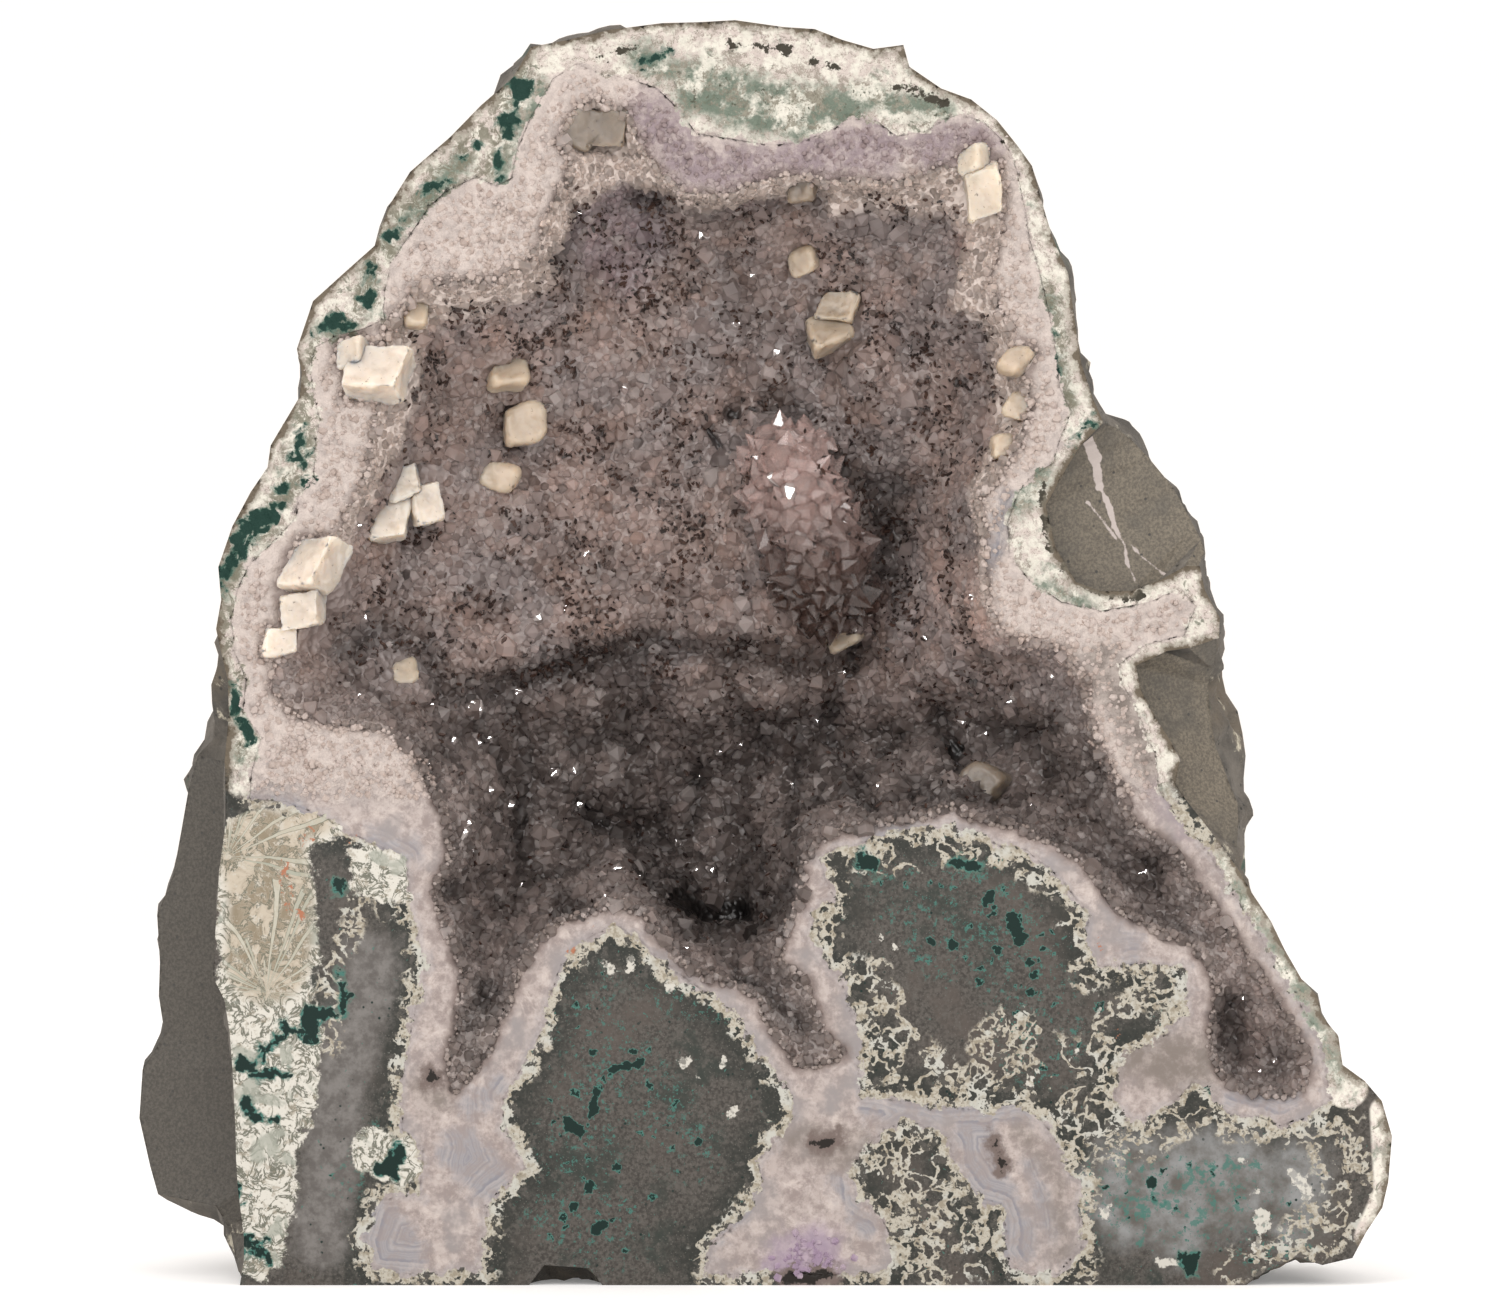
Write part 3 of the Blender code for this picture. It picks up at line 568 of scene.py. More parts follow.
def makeSawnFace(name, hasPolished, hasRind, hasQuartz):
    # parts that a stretch of the face doesn't show are left out of its nodes
    material, tree, shader = newFinish(name, 0.28, 1.52)
    shader.inputs["Specular IOR Level"].default_value = 0.15
    crinkle = around(tree, 190, 4, 0.68)
    wander = plus(tree, times(tree, crinkle, 0.011), times(tree, around(tree, 900, 3, 0.6), 0.0016))
    edge = plus(tree, field(tree, "rockEdge"), wander)
    upper = climb(tree, plus(tree, placeAlong(tree, 2), times(tree, crinkle, 0.03)),
                  faceChanges["polishedTo"], faceChanges["unpolishedFrom"])

    def zone(name, low=-0.0002, high=0.0004):
        return climb(tree, plus(tree, field(tree, name), wander), low, high)

    rock = tones["basaltDark"]
    if hasPolished:
        lower = calc(tree, "SUBTRACT", 1.0, upper)
        rock = layered(tree, polishedTone(tree, zone, edge),
                       (times(tree, creamLace(tree, zone, edge), lower), creamTone(tree)),
                       (zone("zeolite", -0.0006, 0.0006), zeoliteTone(tree, crinkle)))
    if hasRind:
        rindShare = calc(tree, "MAXIMUM", upper, climb(tree, field(tree, "rindStrip"),
                                                       -0.0005, 0.0005))
        rock = mixed(tree, rindShare, rock, rindTone(tree, zone, crinkle))
    patch = plus(tree, field(tree, "greenPatch"),
                 times(tree, around(tree, 270, 5, 0.66, 0.6), 0.0066))
    patch = plus(tree, patch, times(tree, around(tree, 150, 2, 0.5, 0.5), 0.0120))
    inner = plus(tree, patch, times(tree, around(tree, 520, 3), 0.0040))
    softGreen = mixed(tree, clouded(tree, 700, 0.48, 0.60, 3, 0.7), tones["greenSoft"],
                      tones["greenPale"])
    rock = layered(tree, rock,
                   (climb(tree, patch, -0.0009, -0.0001, 0.0, 0.6), tones["greenGrey"]),
                   (climb(tree, patch, 0.0000, 0.0003),
                    mixed(tree, upper, tones["teal"], softGreen)),
                   (climb(tree, inner, 0.0002, 0.0006),
                    mixed(tree, upper, tones["greenDark"], tones["greenDeep"])))
    colour = rock
    if hasQuartz:
        colour = mixed(tree, climb(tree, edge, -0.0002, 0.0002),
                       quartzTone(tree, zone, edge, crinkle, upper), rock)
    if hasPolished:
        colour = mixed(tree, times(tree, zone("rust"), clouded(tree, 520, 0.50, 0.60, 3, 0.7)),
                       colour, tones["rust"])
    if hasQuartz:
        # painted shade of the small holes: a brown halo and a near black core
        colour = layered(tree, colour, (zone("vugs", -0.0030, -0.0002), (0.13, 0.10, 0.09)),
                         (zone("vugs", 0.0002, 0.0008), (0.014, 0.011, 0.009)))
    paint(tree, shader, colour, times(tree, cloud(tree, 700, 3, 0.7), upper), 0.8, 0.0012)
    plug(tree, shader.inputs["Roughness"], climb(tree, upper, 0.0, 1.0, 0.28, 0.62))
    return material


def polishedTone(tree, zone, edge):
    broad, middle, finer = cloud(tree, 45, 4, 0.65), cloud(tree, 150, 4), around(tree, 400, 3, 0.6)
    footTone = mixed(tree, climb(tree, middle, 0.30, 0.70), tones["basaltLight"], tones["footGrey"])
    stripeTone = mixed(tree, clouded(tree, 260, 0.36, 0.64, 4, 0.7), (0.088, 0.080, 0.074),
                       (0.150, 0.140, 0.132))
    pocks = times(tree, climb(tree, cells(tree, 420), 0.20, 0.10), climb(tree, middle, 0.52, 0.62))
    dust = times(tree, zone("spotted", -0.0030, 0.0030),
                 clouded(tree, 560, 0.565, 0.62, 4, 0.78, top=0.8))
    basalt = layered(
        tree, tones["basaltDark"],
        (clouded(tree, 1000, 0.34, 0.70, 3), tones["basaltLight"]),
        (climb(tree, broad, 0.50, 0.68), tones["basaltBrown"]),
        (climb(tree, broad, 0.46, 0.32), tones["basaltGreen"]),
        (climb(tree, edge, 0.0130, 0.0030, 0.0, 0.8), tones["basaltShade"]),
        (clouded(tree, 420, 0.50, 0.70, 3, 0.7, top=0.7), tones["basaltLight"]),
        (zone("footGrey", -0.005, 0.005), footTone),
        (zone("stripeGrey", -0.004, 0.003), stripeTone),
        (pocks, tones["greenDark"]),
        (climb(tree, cells(tree, 1100), 0.24, 0.10, 0.0, 0.6), tones["basaltFleck"]),
        (dust, tones["teal"]))
    spot = bentCells(tree, 310, 0.005)
    spotSize = climb(tree, colourParts(tree, spot)[0], 0.42, 1.0, -0.02, 0.25)
    spotDepth = calc(tree, "SUBTRACT", times(tree, spotSize, zone("spotted", -0.0030, 0.0030)),
                     spot.outputs[0])
    hole = plus(tree, field(tree, "vesicles"), times(tree, finer, 0.0052))
    return layered(
        tree, basalt,
        (climb(tree, spotDepth, -0.10, -0.05, 0.0, 0.9), tones["teal"]),
        (climb(tree, spotDepth, 0.00, 0.03), tones["greenDark"]),
        (times(tree, zone("tealPatch"), climb(tree, finer, -0.03, 0.06, 0.0, 0.8)), tones["teal"]),
        (climb(tree, hole, 0.00000, 0.00015), tones["teal"]),
        (climb(tree, hole, 0.00020, 0.00040), tones["greenDark"]),
        (times(tree, zone("whitePatch", 0.0, 0.0006), climb(tree, finer, -0.10, 0.0, 0.3, 0.9)),
         tones["white"]))


def bentCells(tree, scale, bendSize):
    # cells with ragged outlines
    bend = tree.nodes.new("ShaderNodeTexNoise")
    plug(tree, bend.inputs["Vector"], objectPlace(tree))
    bend.inputs["Scale"].default_value = scale * 1.55
    bend.inputs["Detail"].default_value = 3.0
    spread = tree.nodes.new("ShaderNodeVectorMath")
    spread.operation = "MULTIPLY_ADD"
    tree.links.new(bend.outputs["Color"], spread.inputs[0])
    spread.inputs[1].default_value = (bendSize, bendSize, bendSize)
    tree.links.new(objectPlace(tree), spread.inputs[2])
    found = tree.nodes.new("ShaderNodeTexVoronoi")
    tree.links.new(spread.outputs[0], found.inputs["Vector"])
    found.inputs["Scale"].default_value = scale
    return found


def lineIn(tree, value, middle, outer, inner, top=1.0):
    # a thin line where the value crosses its middle
    return climb(tree, calc(tree, "ABSOLUTE", calc(tree, "SUBTRACT", value, middle)), outer, inner,
                 0.0, top)


def creamLace(tree, zone, edge):
    # small loops and winding lines, and the lacy rim along the quartz
    line = lineIn(tree, cloud(tree, 84, 4, 0.58, 0.3), 0.52, 0.026, 0.014)
    loop = lineIn(tree, bentCells(tree, 135, 0.011).outputs[0], 0.40, 0.095, 0.055)
    loopZone = calc(tree, "MAXIMUM", zone("loops", -0.0008, 0.0014),
                    climb(tree, edge, 0.0042, 0.0028))
    loops = times(tree, calc(tree, "MAXIMUM", line, loop), loopZone)
    rimWidth = plus(tree, 0.0020, times(tree, around(tree, 110, 3), 0.0060))
    rim = climb(tree, calc(tree, "SUBTRACT", edge, rimWidth), 0.0003, -0.0001)
    return times(tree, calc(tree, "MAXIMUM", loops, rim), clouded(tree, 420, 0.61, 0.55, 3, 0.65))


def creamTone(tree):
    grain = cloud(tree, 620, 3, 0.7)
    return layered(tree, tones["creamTan"], (climb(tree, grain, 0.38, 0.56), tones["cream"]),
                   (clouded(tree, 130, 0.50, 0.64, 3, top=0.8), tones["creamCool"]),
                   (climb(tree, grain, 0.60, 0.72, 0.0, 0.7), tones["skinBrown"]))


def zeoliteTone(tree, crinkle):
    # white wrinkled crust, and long needles in fans
    turned = plus(tree, field(tree, "fanTurn"), times(tree, crinkle, 0.05))
    turned = plus(tree, turned, times(tree, around(tree, 60, 1), 0.22))
    ray = alongOne(tree, "ShaderNodeTexVoronoi", times(tree, turned, 9.0))
    own = colourParts(tree, ray)
    reach = calc(tree, "SUBTRACT", times(tree, own[0], 0.052), field(tree, "fanReach"))
    grain, wrinkle = cloud(tree, 560, 3, 0.7), cloud(tree, 190, 5, 0.68, 0.7)
    needle = layered(tree, (0.42, 0.40, 0.335), (own[1], (0.25, 0.265, 0.215)),
                     (climb(tree, grain, 0.46, 0.60, 0.0, 0.5), (0.34, 0.30, 0.23)),
                     (climb(tree, ray.outputs[0], 0.20, 0.27), (0.095, 0.100, 0.072)))
    ground = layered(tree, (0.40, 0.35, 0.28),
                     (climb(tree, wrinkle, 0.36, 0.62), (0.20, 0.165, 0.115)),
                     (climb(tree, grain, 0.52, 0.66, 0.0, 0.8), (0.43, 0.40, 0.345)),
                     (lineIn(tree, wrinkle, 0.5, 0.030, 0.008, 0.7), (0.06, 0.07, 0.05)))
    shown = times(tree, climb(tree, ray.outputs[0], 0.32, 0.26), climb(tree, own[2], 0.36, 0.42))
    shown = times(tree, climb(tree, reach, -0.0006, 0.0006), shown)
    fanColour = mixed(tree, times(tree, shown, 0.9), ground, needle)
    return layered(tree, tones["white"],
                   (lineIn(tree, wrinkle, 0.5, 0.050, 0.012), (0.12, 0.12, 0.095)),
                   (climb(tree, grain, 0.52, 0.66, 0.0, 0.6), tones["creamTan"]),
                   (clouded(tree, 110, 0.56, 0.64, 3, 0.6, 0.5, top=0.8), (0.26, 0.27, 0.23)),
                   (climb(tree, field(tree, "fanZone"), -0.001, 0.003), fanColour))


def rindTone(tree, zone, crinkle):
    # unpolished pale rind in thin layers, green in places, brown skin at its very edge
    grain, broad = cloud(tree, 300, 5, 0.75), cloud(tree, 110, 5, 0.68)
    mintHere = layered(tree, tones["mint"], (climb(tree, broad, 0.46, 0.62), tones["ivory"]),
                       (climb(tree, grain, 0.50, 0.62), (0.24, 0.225, 0.18)),
                       (clouded(tree, 620, 0.60, 0.68, 3, 0.7), (0.075, 0.080, 0.058)))
    layer = plus(tree, times(tree, field(tree, "outerEdge"), 420.0), times(tree, broad, 9.0))
    wave = alongOne(tree, "ShaderNodeTexNoise", layer, 2.0)
    # dark lines between the layers: grey streaks, partly painted shadow of the flaky layers
    split = times(tree, lineIn(tree, wave.outputs[0], 0.5, 0.045, 0.010),
                  climb(tree, grain, 0.44, 0.54))
    dirty = times(tree, zone("dirt", -0.0020, 0.0020),
                  clouded(tree, 250, 0.46, 0.55, 5, 0.75, 0.9, top=0.9))
    skinEdge = plus(tree, field(tree, "outerEdge"), times(tree, crinkle, 0.009))
    return layered(
        tree, tones["ivory"],
        (climb(tree, grain, 0.40, 0.60), tones["quartzBright"]),
        (climb(tree, broad, 0.58, 0.70, 0.0, 0.8), tones["mint"]),
        (zone("mint", -0.0030, 0.0030), mintHere),
        (times(tree, split, 0.75), tones["rindGrey"]),
        (clouded(tree, 170, 0.62, 0.68, 4, 0.7, 0.8, top=0.8), (0.12, 0.13, 0.095)),
        # dark cracks in the rind, and a painted shadow seam under the right lump
        (zone("cracks", -0.0003, 0.0003), (0.045, 0.040, 0.030)),
        (dirty, (0.150, 0.142, 0.105)),
        (climb(tree, skinEdge, 0.0026, 0.0012, 0.0, 0.6), tones["rindGrey"]),
        (climb(tree, skinEdge, 0.0012, 0.0003), tones["skinBrown"]))


def quartzTone(tree, zone, edge, crinkle, upper):
    # grainy pale quartz, lilac and chalcedony in places, browner at the hollow's mouth
    grains = tree.nodes.new("ShaderNodeTexVoronoi")
    plug(tree, grains.inputs["Vector"], objectPlace(tree))
    grains.inputs["Scale"].default_value = 620
    fine, broad = cloud(tree, 300, 4, 0.7), cloud(tree, 75, 4)
    mouthShare = plus(tree, field(tree, "mouthEdge"), times(tree, crinkle, 0.006))
    slow = plus(tree, field(tree, "rockEdge"), times(tree, broad, 0.006))
    bands = alongOne(tree, "ShaderNodeTexNoise", times(tree, slow, 900.0))
    agate = layered(tree, tones["chalcedony"],
                    (climb(tree, bands.outputs[0], 0.30, 0.70), tones["chalcedonyPale"]),
                    (climb(tree, fine, 0.40, 0.64, 0.0, 0.6), tones["quartz"]))
    nearRock = times(tree, climb(tree, edge, -0.0030, -0.0008), calc(tree, "SUBTRACT", 1.0, upper))
    agateShare = calc(tree, "MAXIMUM", times(tree, nearRock, 0.4),
                      zone("chalcedony", -0.0025, 0.0025))
    return layered(
        tree, tones["quartzPale"],
        (climb(tree, fine, 0.36, 0.64), tones["quartz"]),
        (times(tree, colourParts(tree, grains)[0], 0.28), tones["quartzBrown"]),
        (clouded(tree, 130, 0.50, 0.68, 5, 0.72, 0.6, top=0.7), tones["quartzBright"]),
        (climb(tree, broad, 0.48, 0.70), tones["quartzGrey"]),
        (upper, mixed(tree, climb(tree, fine, 0.40, 0.66), tones["quartzBright"],
                      tones["quartzPale"])),
        (times(tree, zone("lilac", -0.004, 0.005), climb(tree, fine, 0.36, 0.56, 0.5, 0.9)),
         tones["lilac"]),
        (climb(tree, mouthShare, 0.0040, 0.0002, 0.0, 0.75), tones["quartzBrown"]),
        (agateShare, agate),
        (times(tree, zone("quartzShade", -0.005, 0.005), climb(tree, fine, 0.36, 0.60, 0.6, 0.95)),
         tones["quartzDusk"]),
        (times(tree, zone("purple", -0.005, 0.004), 0.7), tones["purple"]))


rindStrip = [(22, 1236, 850, 1310, 985, 1345, 1085), (14, 1382, 1110, 1386, 1190, 1366, 1235)]


def faceFields(mesh, rockBorder, mouthBorder, outerBorder, isRock):
    # everything the sawn face's finish needs to know about each vertex
    places = vertexPlaces(mesh)
    fromRock = distanceTo(rockBorder, places)
    addField(mesh, "rockEdge", fromRock if isRock else -fromRock)
    addField(mesh, "outerEdge", distanceTo(outerBorder, places))
    addField(mesh, "mouthEdge", distanceTo(mouthBorder, places))
    for name, strokes in zones.items():
        addField(mesh, name, strokeField(strokes, places))
    addField(mesh, "rindStrip", strokeField(rindStrip, places))
    lowFan, highFan = onFace(268, 992), onFace(228, 856)
    isHigh = places[:, 2] > onFace(0, 858)[1] - 0.4 * (places[:, 0] - highFan[0])
    aside = places[:, 0] - np.where(isHigh, highFan[0], lowFan[0])
    above = places[:, 2] - np.where(isHigh, highFan[1], lowFan[1])
    addField(mesh, "fanTurn", np.arctan2(aside, above))
    addField(mesh, "fanReach", np.hypot(aside, above))
    addField(mesh, "fanZone", strokeField([(46, 262, 850, 272, 900, 268, 960),
                                           (20, 240, 845, 320, 818)], places))


sawnFace = makeSawnFace("sawnFace", True, True, True)
sawnUpper = makeSawnFace("sawnUpper", False, True, True)
polishedRock = makeSawnFace("polishedRock", True, False, False)
sawnQuartz = makeSawnFace("sawnQuartz", False, False, True)
print("sawn face finishes made")


def splitFaceFinish(mesh, isRock):
    # gives each stretch of the sawn face the lightest finish that shows all of it
    finishes = faceFacts(mesh)[3]
    places = faceFacts(mesh)[0].astype(float)
    away, height = distanceTo(rockBorder, places), places[:, 2]
    inFront = finishes == 0
    light = len(mesh.materials)
    mesh.materials.append(sawnUpper)
    mesh.materials.append(polishedRock if isRock else sawnQuartz)
    finishes[inFront & (height > faceChanges["rindAbove"])] = light
    plain = away > faceChanges["seam"]
    if isRock:
        plain &= (height < faceChanges["rindBelow"]) & (strokeField(rindStrip, places) < -0.003)
    finishes[inFront & plain] = light + 1
    mesh.polygons.foreach_set("material_index", finishes)


# the natural skin, the matt sawn side faces and the cut base

def makeNaturalSkin():
    material, tree, shader = newFinish("naturalSkin", 0.85)
    crust = times(tree, clouded(tree, 90, 0.58, 0.66, 6, 0.72, 0.5),
                  clouded(tree, 14, 0.42, 0.6, 3))
    base = layered(tree, (0.060, 0.054, 0.046),
                   (clouded(tree, 60, 0.35, 0.65, 6, 0.65), tones["skinGrey"]),
                   (clouded(tree, 24, 0.50, 0.66, 5, 0.6), tones["skinBrown"]),
                   (clouded(tree, 38, 0.58, 0.66, 6, 0.7, 0.6), (0.060, 0.095, 0.070)),
                   (crust, (0.50, 0.46, 0.36)),
                   (climb(tree, cells(tree, 300), 0.20, 0.08), (0.030, 0.028, 0.024)))
    relief = plus(tree, cloud(tree, 160, 6, 0.7), times(tree, cells(tree, 260), 0.5))
    paint(tree, shader, base, relief, 0.9, 0.0022)
    return material


def makeSawnSide():
    material, tree, shader = newFinish("sawnSide", 0.6)
    grain = clouded(tree, 1300, 0.35, 0.68, 3, 0.7)
    slab = mixed(tree, grain, (0.042, 0.037, 0.030), (0.080, 0.071, 0.058))
    lump = mixed(tree, grain, (0.078, 0.065, 0.049), (0.155, 0.132, 0.098))
    lump = mixed(tree, clouded(tree, 40, 0.46, 0.60, 4), lump,
                 mixed(tree, grain, (0.064, 0.055, 0.043), (0.098, 0.086, 0.068)))
    vein = plus(tree, field(tree, "veins"), times(tree, around(tree, 210, 4), 0.0024))
    base = layered(tree, slab, (climb(tree, placeAlong(tree, 0), -0.02, 0.02), lump),
                   (climb(tree, cells(tree, 260), 0.14, 0.07), (0.035, 0.032, 0.028)),
                   (climb(tree, vein, -0.0001, 0.0002), tones["quartzPale"]))
    relief = plus(tree, cloud(tree, 900, 3),
                  times(tree, climb(tree, cells(tree, 260), 0.05, 0.18), 0.6))
    paint(tree, shader, base, relief, 0.35, 0.0006)
    return material


def makeCutBase():
    material, tree, shader = newFinish("cutBase", 0.7)
    base = layered(tree, (0.07, 0.063, 0.056),
                   (clouded(tree, 900, 0.35, 0.65, 3), (0.12, 0.108, 0.095)),
                   (clouded(tree, 35, 0.60, 0.64, 5, 0.6, 0.8), tones["cream"]))
    paint(tree, shader, base, cloud(tree, 500, 4), 0.3, 0.0006)
    return material


rockShape = {"frontEdge": 0.0015, "upperEdge": 0.0019, "skinEdge": 0.0062, "sideEdge": 0.0016,
             "skinRelief": 0.0034, "fineRelief": 0.0012, "rimRelief": 0.0011, "roughFrom": 0.122,
             "veins": [(6.5, 1084, 424, 1098, 456), (4.6, 1098, 456, 1103, 484),
                       (2.8, 1103, 484, 1113, 505, 1117, 523),
                       (1.9, 1117, 523, 1128, 542, 1130, 560), (1.2, 1130, 560, 1138, 580),
                       (1.1, 1090, 500, 1106, 518, 1121, 538),
                       (1.0, 1124, 531, 1146, 555, 1168, 573)]}


# finish numbers of the rock's faces
rockFinish = {"face": 0, "skin": 1, "side": 2, "base": 3, "inside": 4}


def buildRock():
    piece = copyOf("basalt_matrix", "basaltRock")
    mesh = piece.data
    middles, normals = faceFacts(mesh)[:2]
    front = onSawnFace(mesh)
    start = int(np.argmax(middles[:, 1]))
    skin = spreadFrom(mesh, [start], front)
    finishes = np.full(len(mesh.polygons), rockFinish["inside"], np.int32)
    finishes[skin] = rockFinish["skin"]
    finishes[front] = rockFinish["face"]
    onSkin = finishes == rockFinish["skin"]
    leftX = onFace(245, 0)[0]
    rightX = onFace(1050, 0)[0]
    beside = (middles[:, 0] < leftX) & (middles[:, 2] < onFace(0, 750)[1])
    beside |= (middles[:, 0] > rightX) & (middles[:, 2] > onFace(0, 860)[1]) & (
        middles[:, 2] < onFace(0, 415)[1])
    side = onSkin & beside & (normals[:, 1] < -0.55) & (middles[:, 1] < faceY + 0.042)
    finishes[side] = rockFinish["side"]
    finishes[onSkin & (normals[:, 2] < -0.98) & (middles[:, 2] < 0.0006)] = rockFinish["base"]
    mesh.polygons.foreach_set("material_index", finishes)
    for material in (sawnFace, naturalSkin, sawnSide, cutBase, naturalSkin):
        mesh.materials.append(material)
    return piece, loopSegments(mesh, finishes == rockFinish["face"])


naturalSkin, sawnSide, cutBase = makeNaturalSkin(), makeSawnSide(), makeCutBase()
rock, frontBorder = buildRock()

# the border of the sawn rock is its outer edge and the lines where the quartz begins
crustPiece = copyOf("quartz_crust", "quartzLining")
bandFaces = onSawnFace(crustPiece.data)
bandBorder = loopSegments(crustPiece.data, bandFaces)


def startsOf(border):
    return np.column_stack([border[:, 0], np.zeros(len(border)), border[:, 1]])


rockward = distanceTo(frontBorder, startsOf(bandBorder)) < 0.0008
mouthBorder = bandBorder[~rockward]
atCrust = distanceTo(bandBorder[rockward], startsOf(frontBorder)) < 0.0008
rockBorder, outerBorder = frontBorder[atCrust], frontBorder[~atCrust]
print("borders", len(rockBorder), len(outerBorder), len(mouthBorder))


def finishRock(piece):
    def longest(middle):
        inFront = middle[:, 1] < faceY + 0.0003
        return np.where(inFront, np.where(middle[:, 2] > 0.135, rockShape["upperEdge"],
                                          rockShape["frontEdge"]), 1.0)

    splitLongEdges(piece, longest, (0,), turns=9, tidyTurns=5)
    splitLongEdges(piece, lambda middle: np.where(
        strokeField(rockShape["veins"], middle) > -0.0012, 0.0006, rockShape["sideEdge"]), (2,), 8)
    splitLongEdges(piece, rockShape["skinEdge"], (1,), 6)
    mesh = piece.data
    places = vertexPlaces(mesh)
    normals = vertexNormals(mesh)
    onFront = vertexMask(mesh, rockFinish["face"])
    elsewhere = [number for name, number in rockFinish.items() if name != "skin"]
    skin = vertexMask(mesh, rockFinish["skin"]) & ~vertexMask(mesh, elsewhere)
    for sliver in np.where(faceFacts(mesh)[2] < 2e-9)[0]:
        skin[list(mesh.polygons[sliver].vertices)] = False
    behind = ease(places[:, 1] - faceY, 0.001, 0.012)
    swell = rockShape["skinRelief"] * roughNoise(places[skin], 45, 4)
    swell += rockShape["fineRelief"] * roughNoise(places[skin], 190, 3, 4.0)
    places[skin] += normals[skin] * (swell * behind[skin])[:, None]
    places[:, 2] = np.maximum(places[:, 2], 0.0)
    rough = ease(places[:, 2], rockShape["roughFrom"], rockShape["roughFrom"] + 0.012)
    inside = ease(np.minimum(distanceTo(outerBorder, places), 0.01), 0.0, 0.0015)
    relief = rockShape["rimRelief"] * brokenRelief(places[onFront], 160)
    places[onFront, 1] += relief * rough[onFront] * inside[onFront]
    setPlaces(mesh, places)
    faceFields(mesh, rockBorder, mouthBorder, outerBorder, True)
    addField(mesh, "veins", strokeField(rockShape["veins"], places))
    splitFaceFinish(mesh, True)
    takeUp(piece)
    bpy.ops.object.shade_smooth_by_angle(angle=math.radians(40))
    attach(piece, "root")
    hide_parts("basalt_matrix")
    print("basalt rock", len(mesh.polygons), np.bincount(faceFacts(mesh)[3]))


finishRock(rock)


# the quartz lining of the hollow

# the lit tone is a painted highlight, for crystals that stand for facets catching the light
druseTones = {"upper": (0.53, 0.405, 0.365), "upperCool": (0.42, 0.350, 0.335),
              "upperWarm": (0.43, 0.305, 0.26), "lower": (0.40, 0.325, 0.30),
              "lowerDark": (0.24, 0.195, 0.18), "mouth": (0.62, 0.53, 0.48),
              "mouthLow": (0.36, 0.30, 0.275), "stain": (0.38, 0.20, 0.155),
              "lit": (0.78, 0.70, 0.67), "violet": (0.51, 0.410, 0.465),
              "from": 0.136, "to": 0.172, "bed": 0.42, "bedMouth": 0.85}

# creases, lips and holes of the hollow as strokes over the picture; creases, holes and pockets are
# also painted darker as shade, and the lights painted brighter as light
hollowForms = {
    "creases": [(13, 346, 647, 383, 624, 415, 645, 445, 690, 509, 676, 578, 652, 640, 636, 690,
                 640, 738, 648, 789, 659, 850, 655), (9, 834, 719, 839, 668, 862, 640),
                (10, 830, 728, 853, 755, 871, 806),
                (22, 642, 847, 665, 884, 692, 912, 725, 922, 789, 906, 812, 874),
                (12, 949, 714, 963, 750), (7, 985, 723, 1036, 732, 1059, 719),
                (9, 831, 446, 855, 466, 880, 478, 908, 480), (14, 882, 485, 900, 530, 890, 585),
                (10, 872, 601, 868, 560), (14, 773, 388, 800, 408),
                (7, 634, 191, 675, 199, 732, 214, 798, 193, 880, 187, 950, 170),
                (5, 560, 170, 578, 215, 556, 255, 494, 272, 420, 286, 400, 310),
                (14, 565, 905, 600, 930, 540, 960), (18, 480, 1000, 470, 1060),
                (16, 1225, 1010, 1232, 1060), (10, 740, 985, 800, 1020),
                (8, 1050, 400, 1040, 440), (7, 560, 790, 600, 830, 640, 847),
                (6, 700, 760, 690, 830), (6, 800, 760, 790, 840),
                (8, 505, 700, 520, 780, 505, 860), (8, 915, 790, 1000, 800)],
    "lips": [(22, 400, 625, 440, 655, 509, 645, 578, 622, 640, 606, 690, 612, 738, 620, 789, 628),
             (26, 760, 690, 800, 730, 840, 780), (28, 600, 720, 620, 790),
             (26, 700, 700, 740, 790), (24, 540, 740, 545, 830), (24, 700, 850, 740, 870),
             (26, 920, 640, 960, 670), (20, 1040, 690, 1070, 720), (34, 600, 330, 640, 420),
             (30, 860, 330, 900, 400), (30, 470, 470, 520, 540), (30, 640, 520, 700, 560),
             (28, 900, 250, 940, 300)],
    # holes: painted shade, a dark tone where the lining sinks in and no crystals grow
    "holes": [(9, 732, 400), (4, 742, 386), (4, 704, 414, 720, 436), (10, 963, 745),
              (11, 676, 898, 700, 914, 745, 914)],
    # lights: painted light, brightening the hollow's tone
    "lights": [(28, 430, 300, 540, 315), (36, 930, 570, 970, 640), (12, 1040, 320, 1020, 250),
               (22, 1238, 930, 1270, 1060)],
    # pockets: painted shade, darkening the hollow's tone
    "pockets": [(26, 428, 385, 478, 404), (30, 620, 170, 640, 215), (26, 600, 560, 660, 590),
                (22, 720, 260, 760, 300), (20, 860, 470, 880, 520), (20, 1092, 710, 1100, 790)],
    "violets": [(26, 560, 205, 600, 190, 640, 220), (20, 600, 240, 625, 262),
                (10, 670, 176, 760, 186)],
    "stains": [(20, 983, 228, 992, 275), (8, 600, 100, 612, 76), (20, 870, 590)],
}


def within(form, places, low, high):
    # how far places lie within the strokes of one form of the hollow, 0 to 1
    return ease(strokeField(hollowForms[form], places), low, high)


def knobCores(places):
    # distance to the middle of the nearest knob, in knobs
    return np.array([noise.voronoi(Vector(p) / liningShape["knobSize"])[0][0] for p in places])


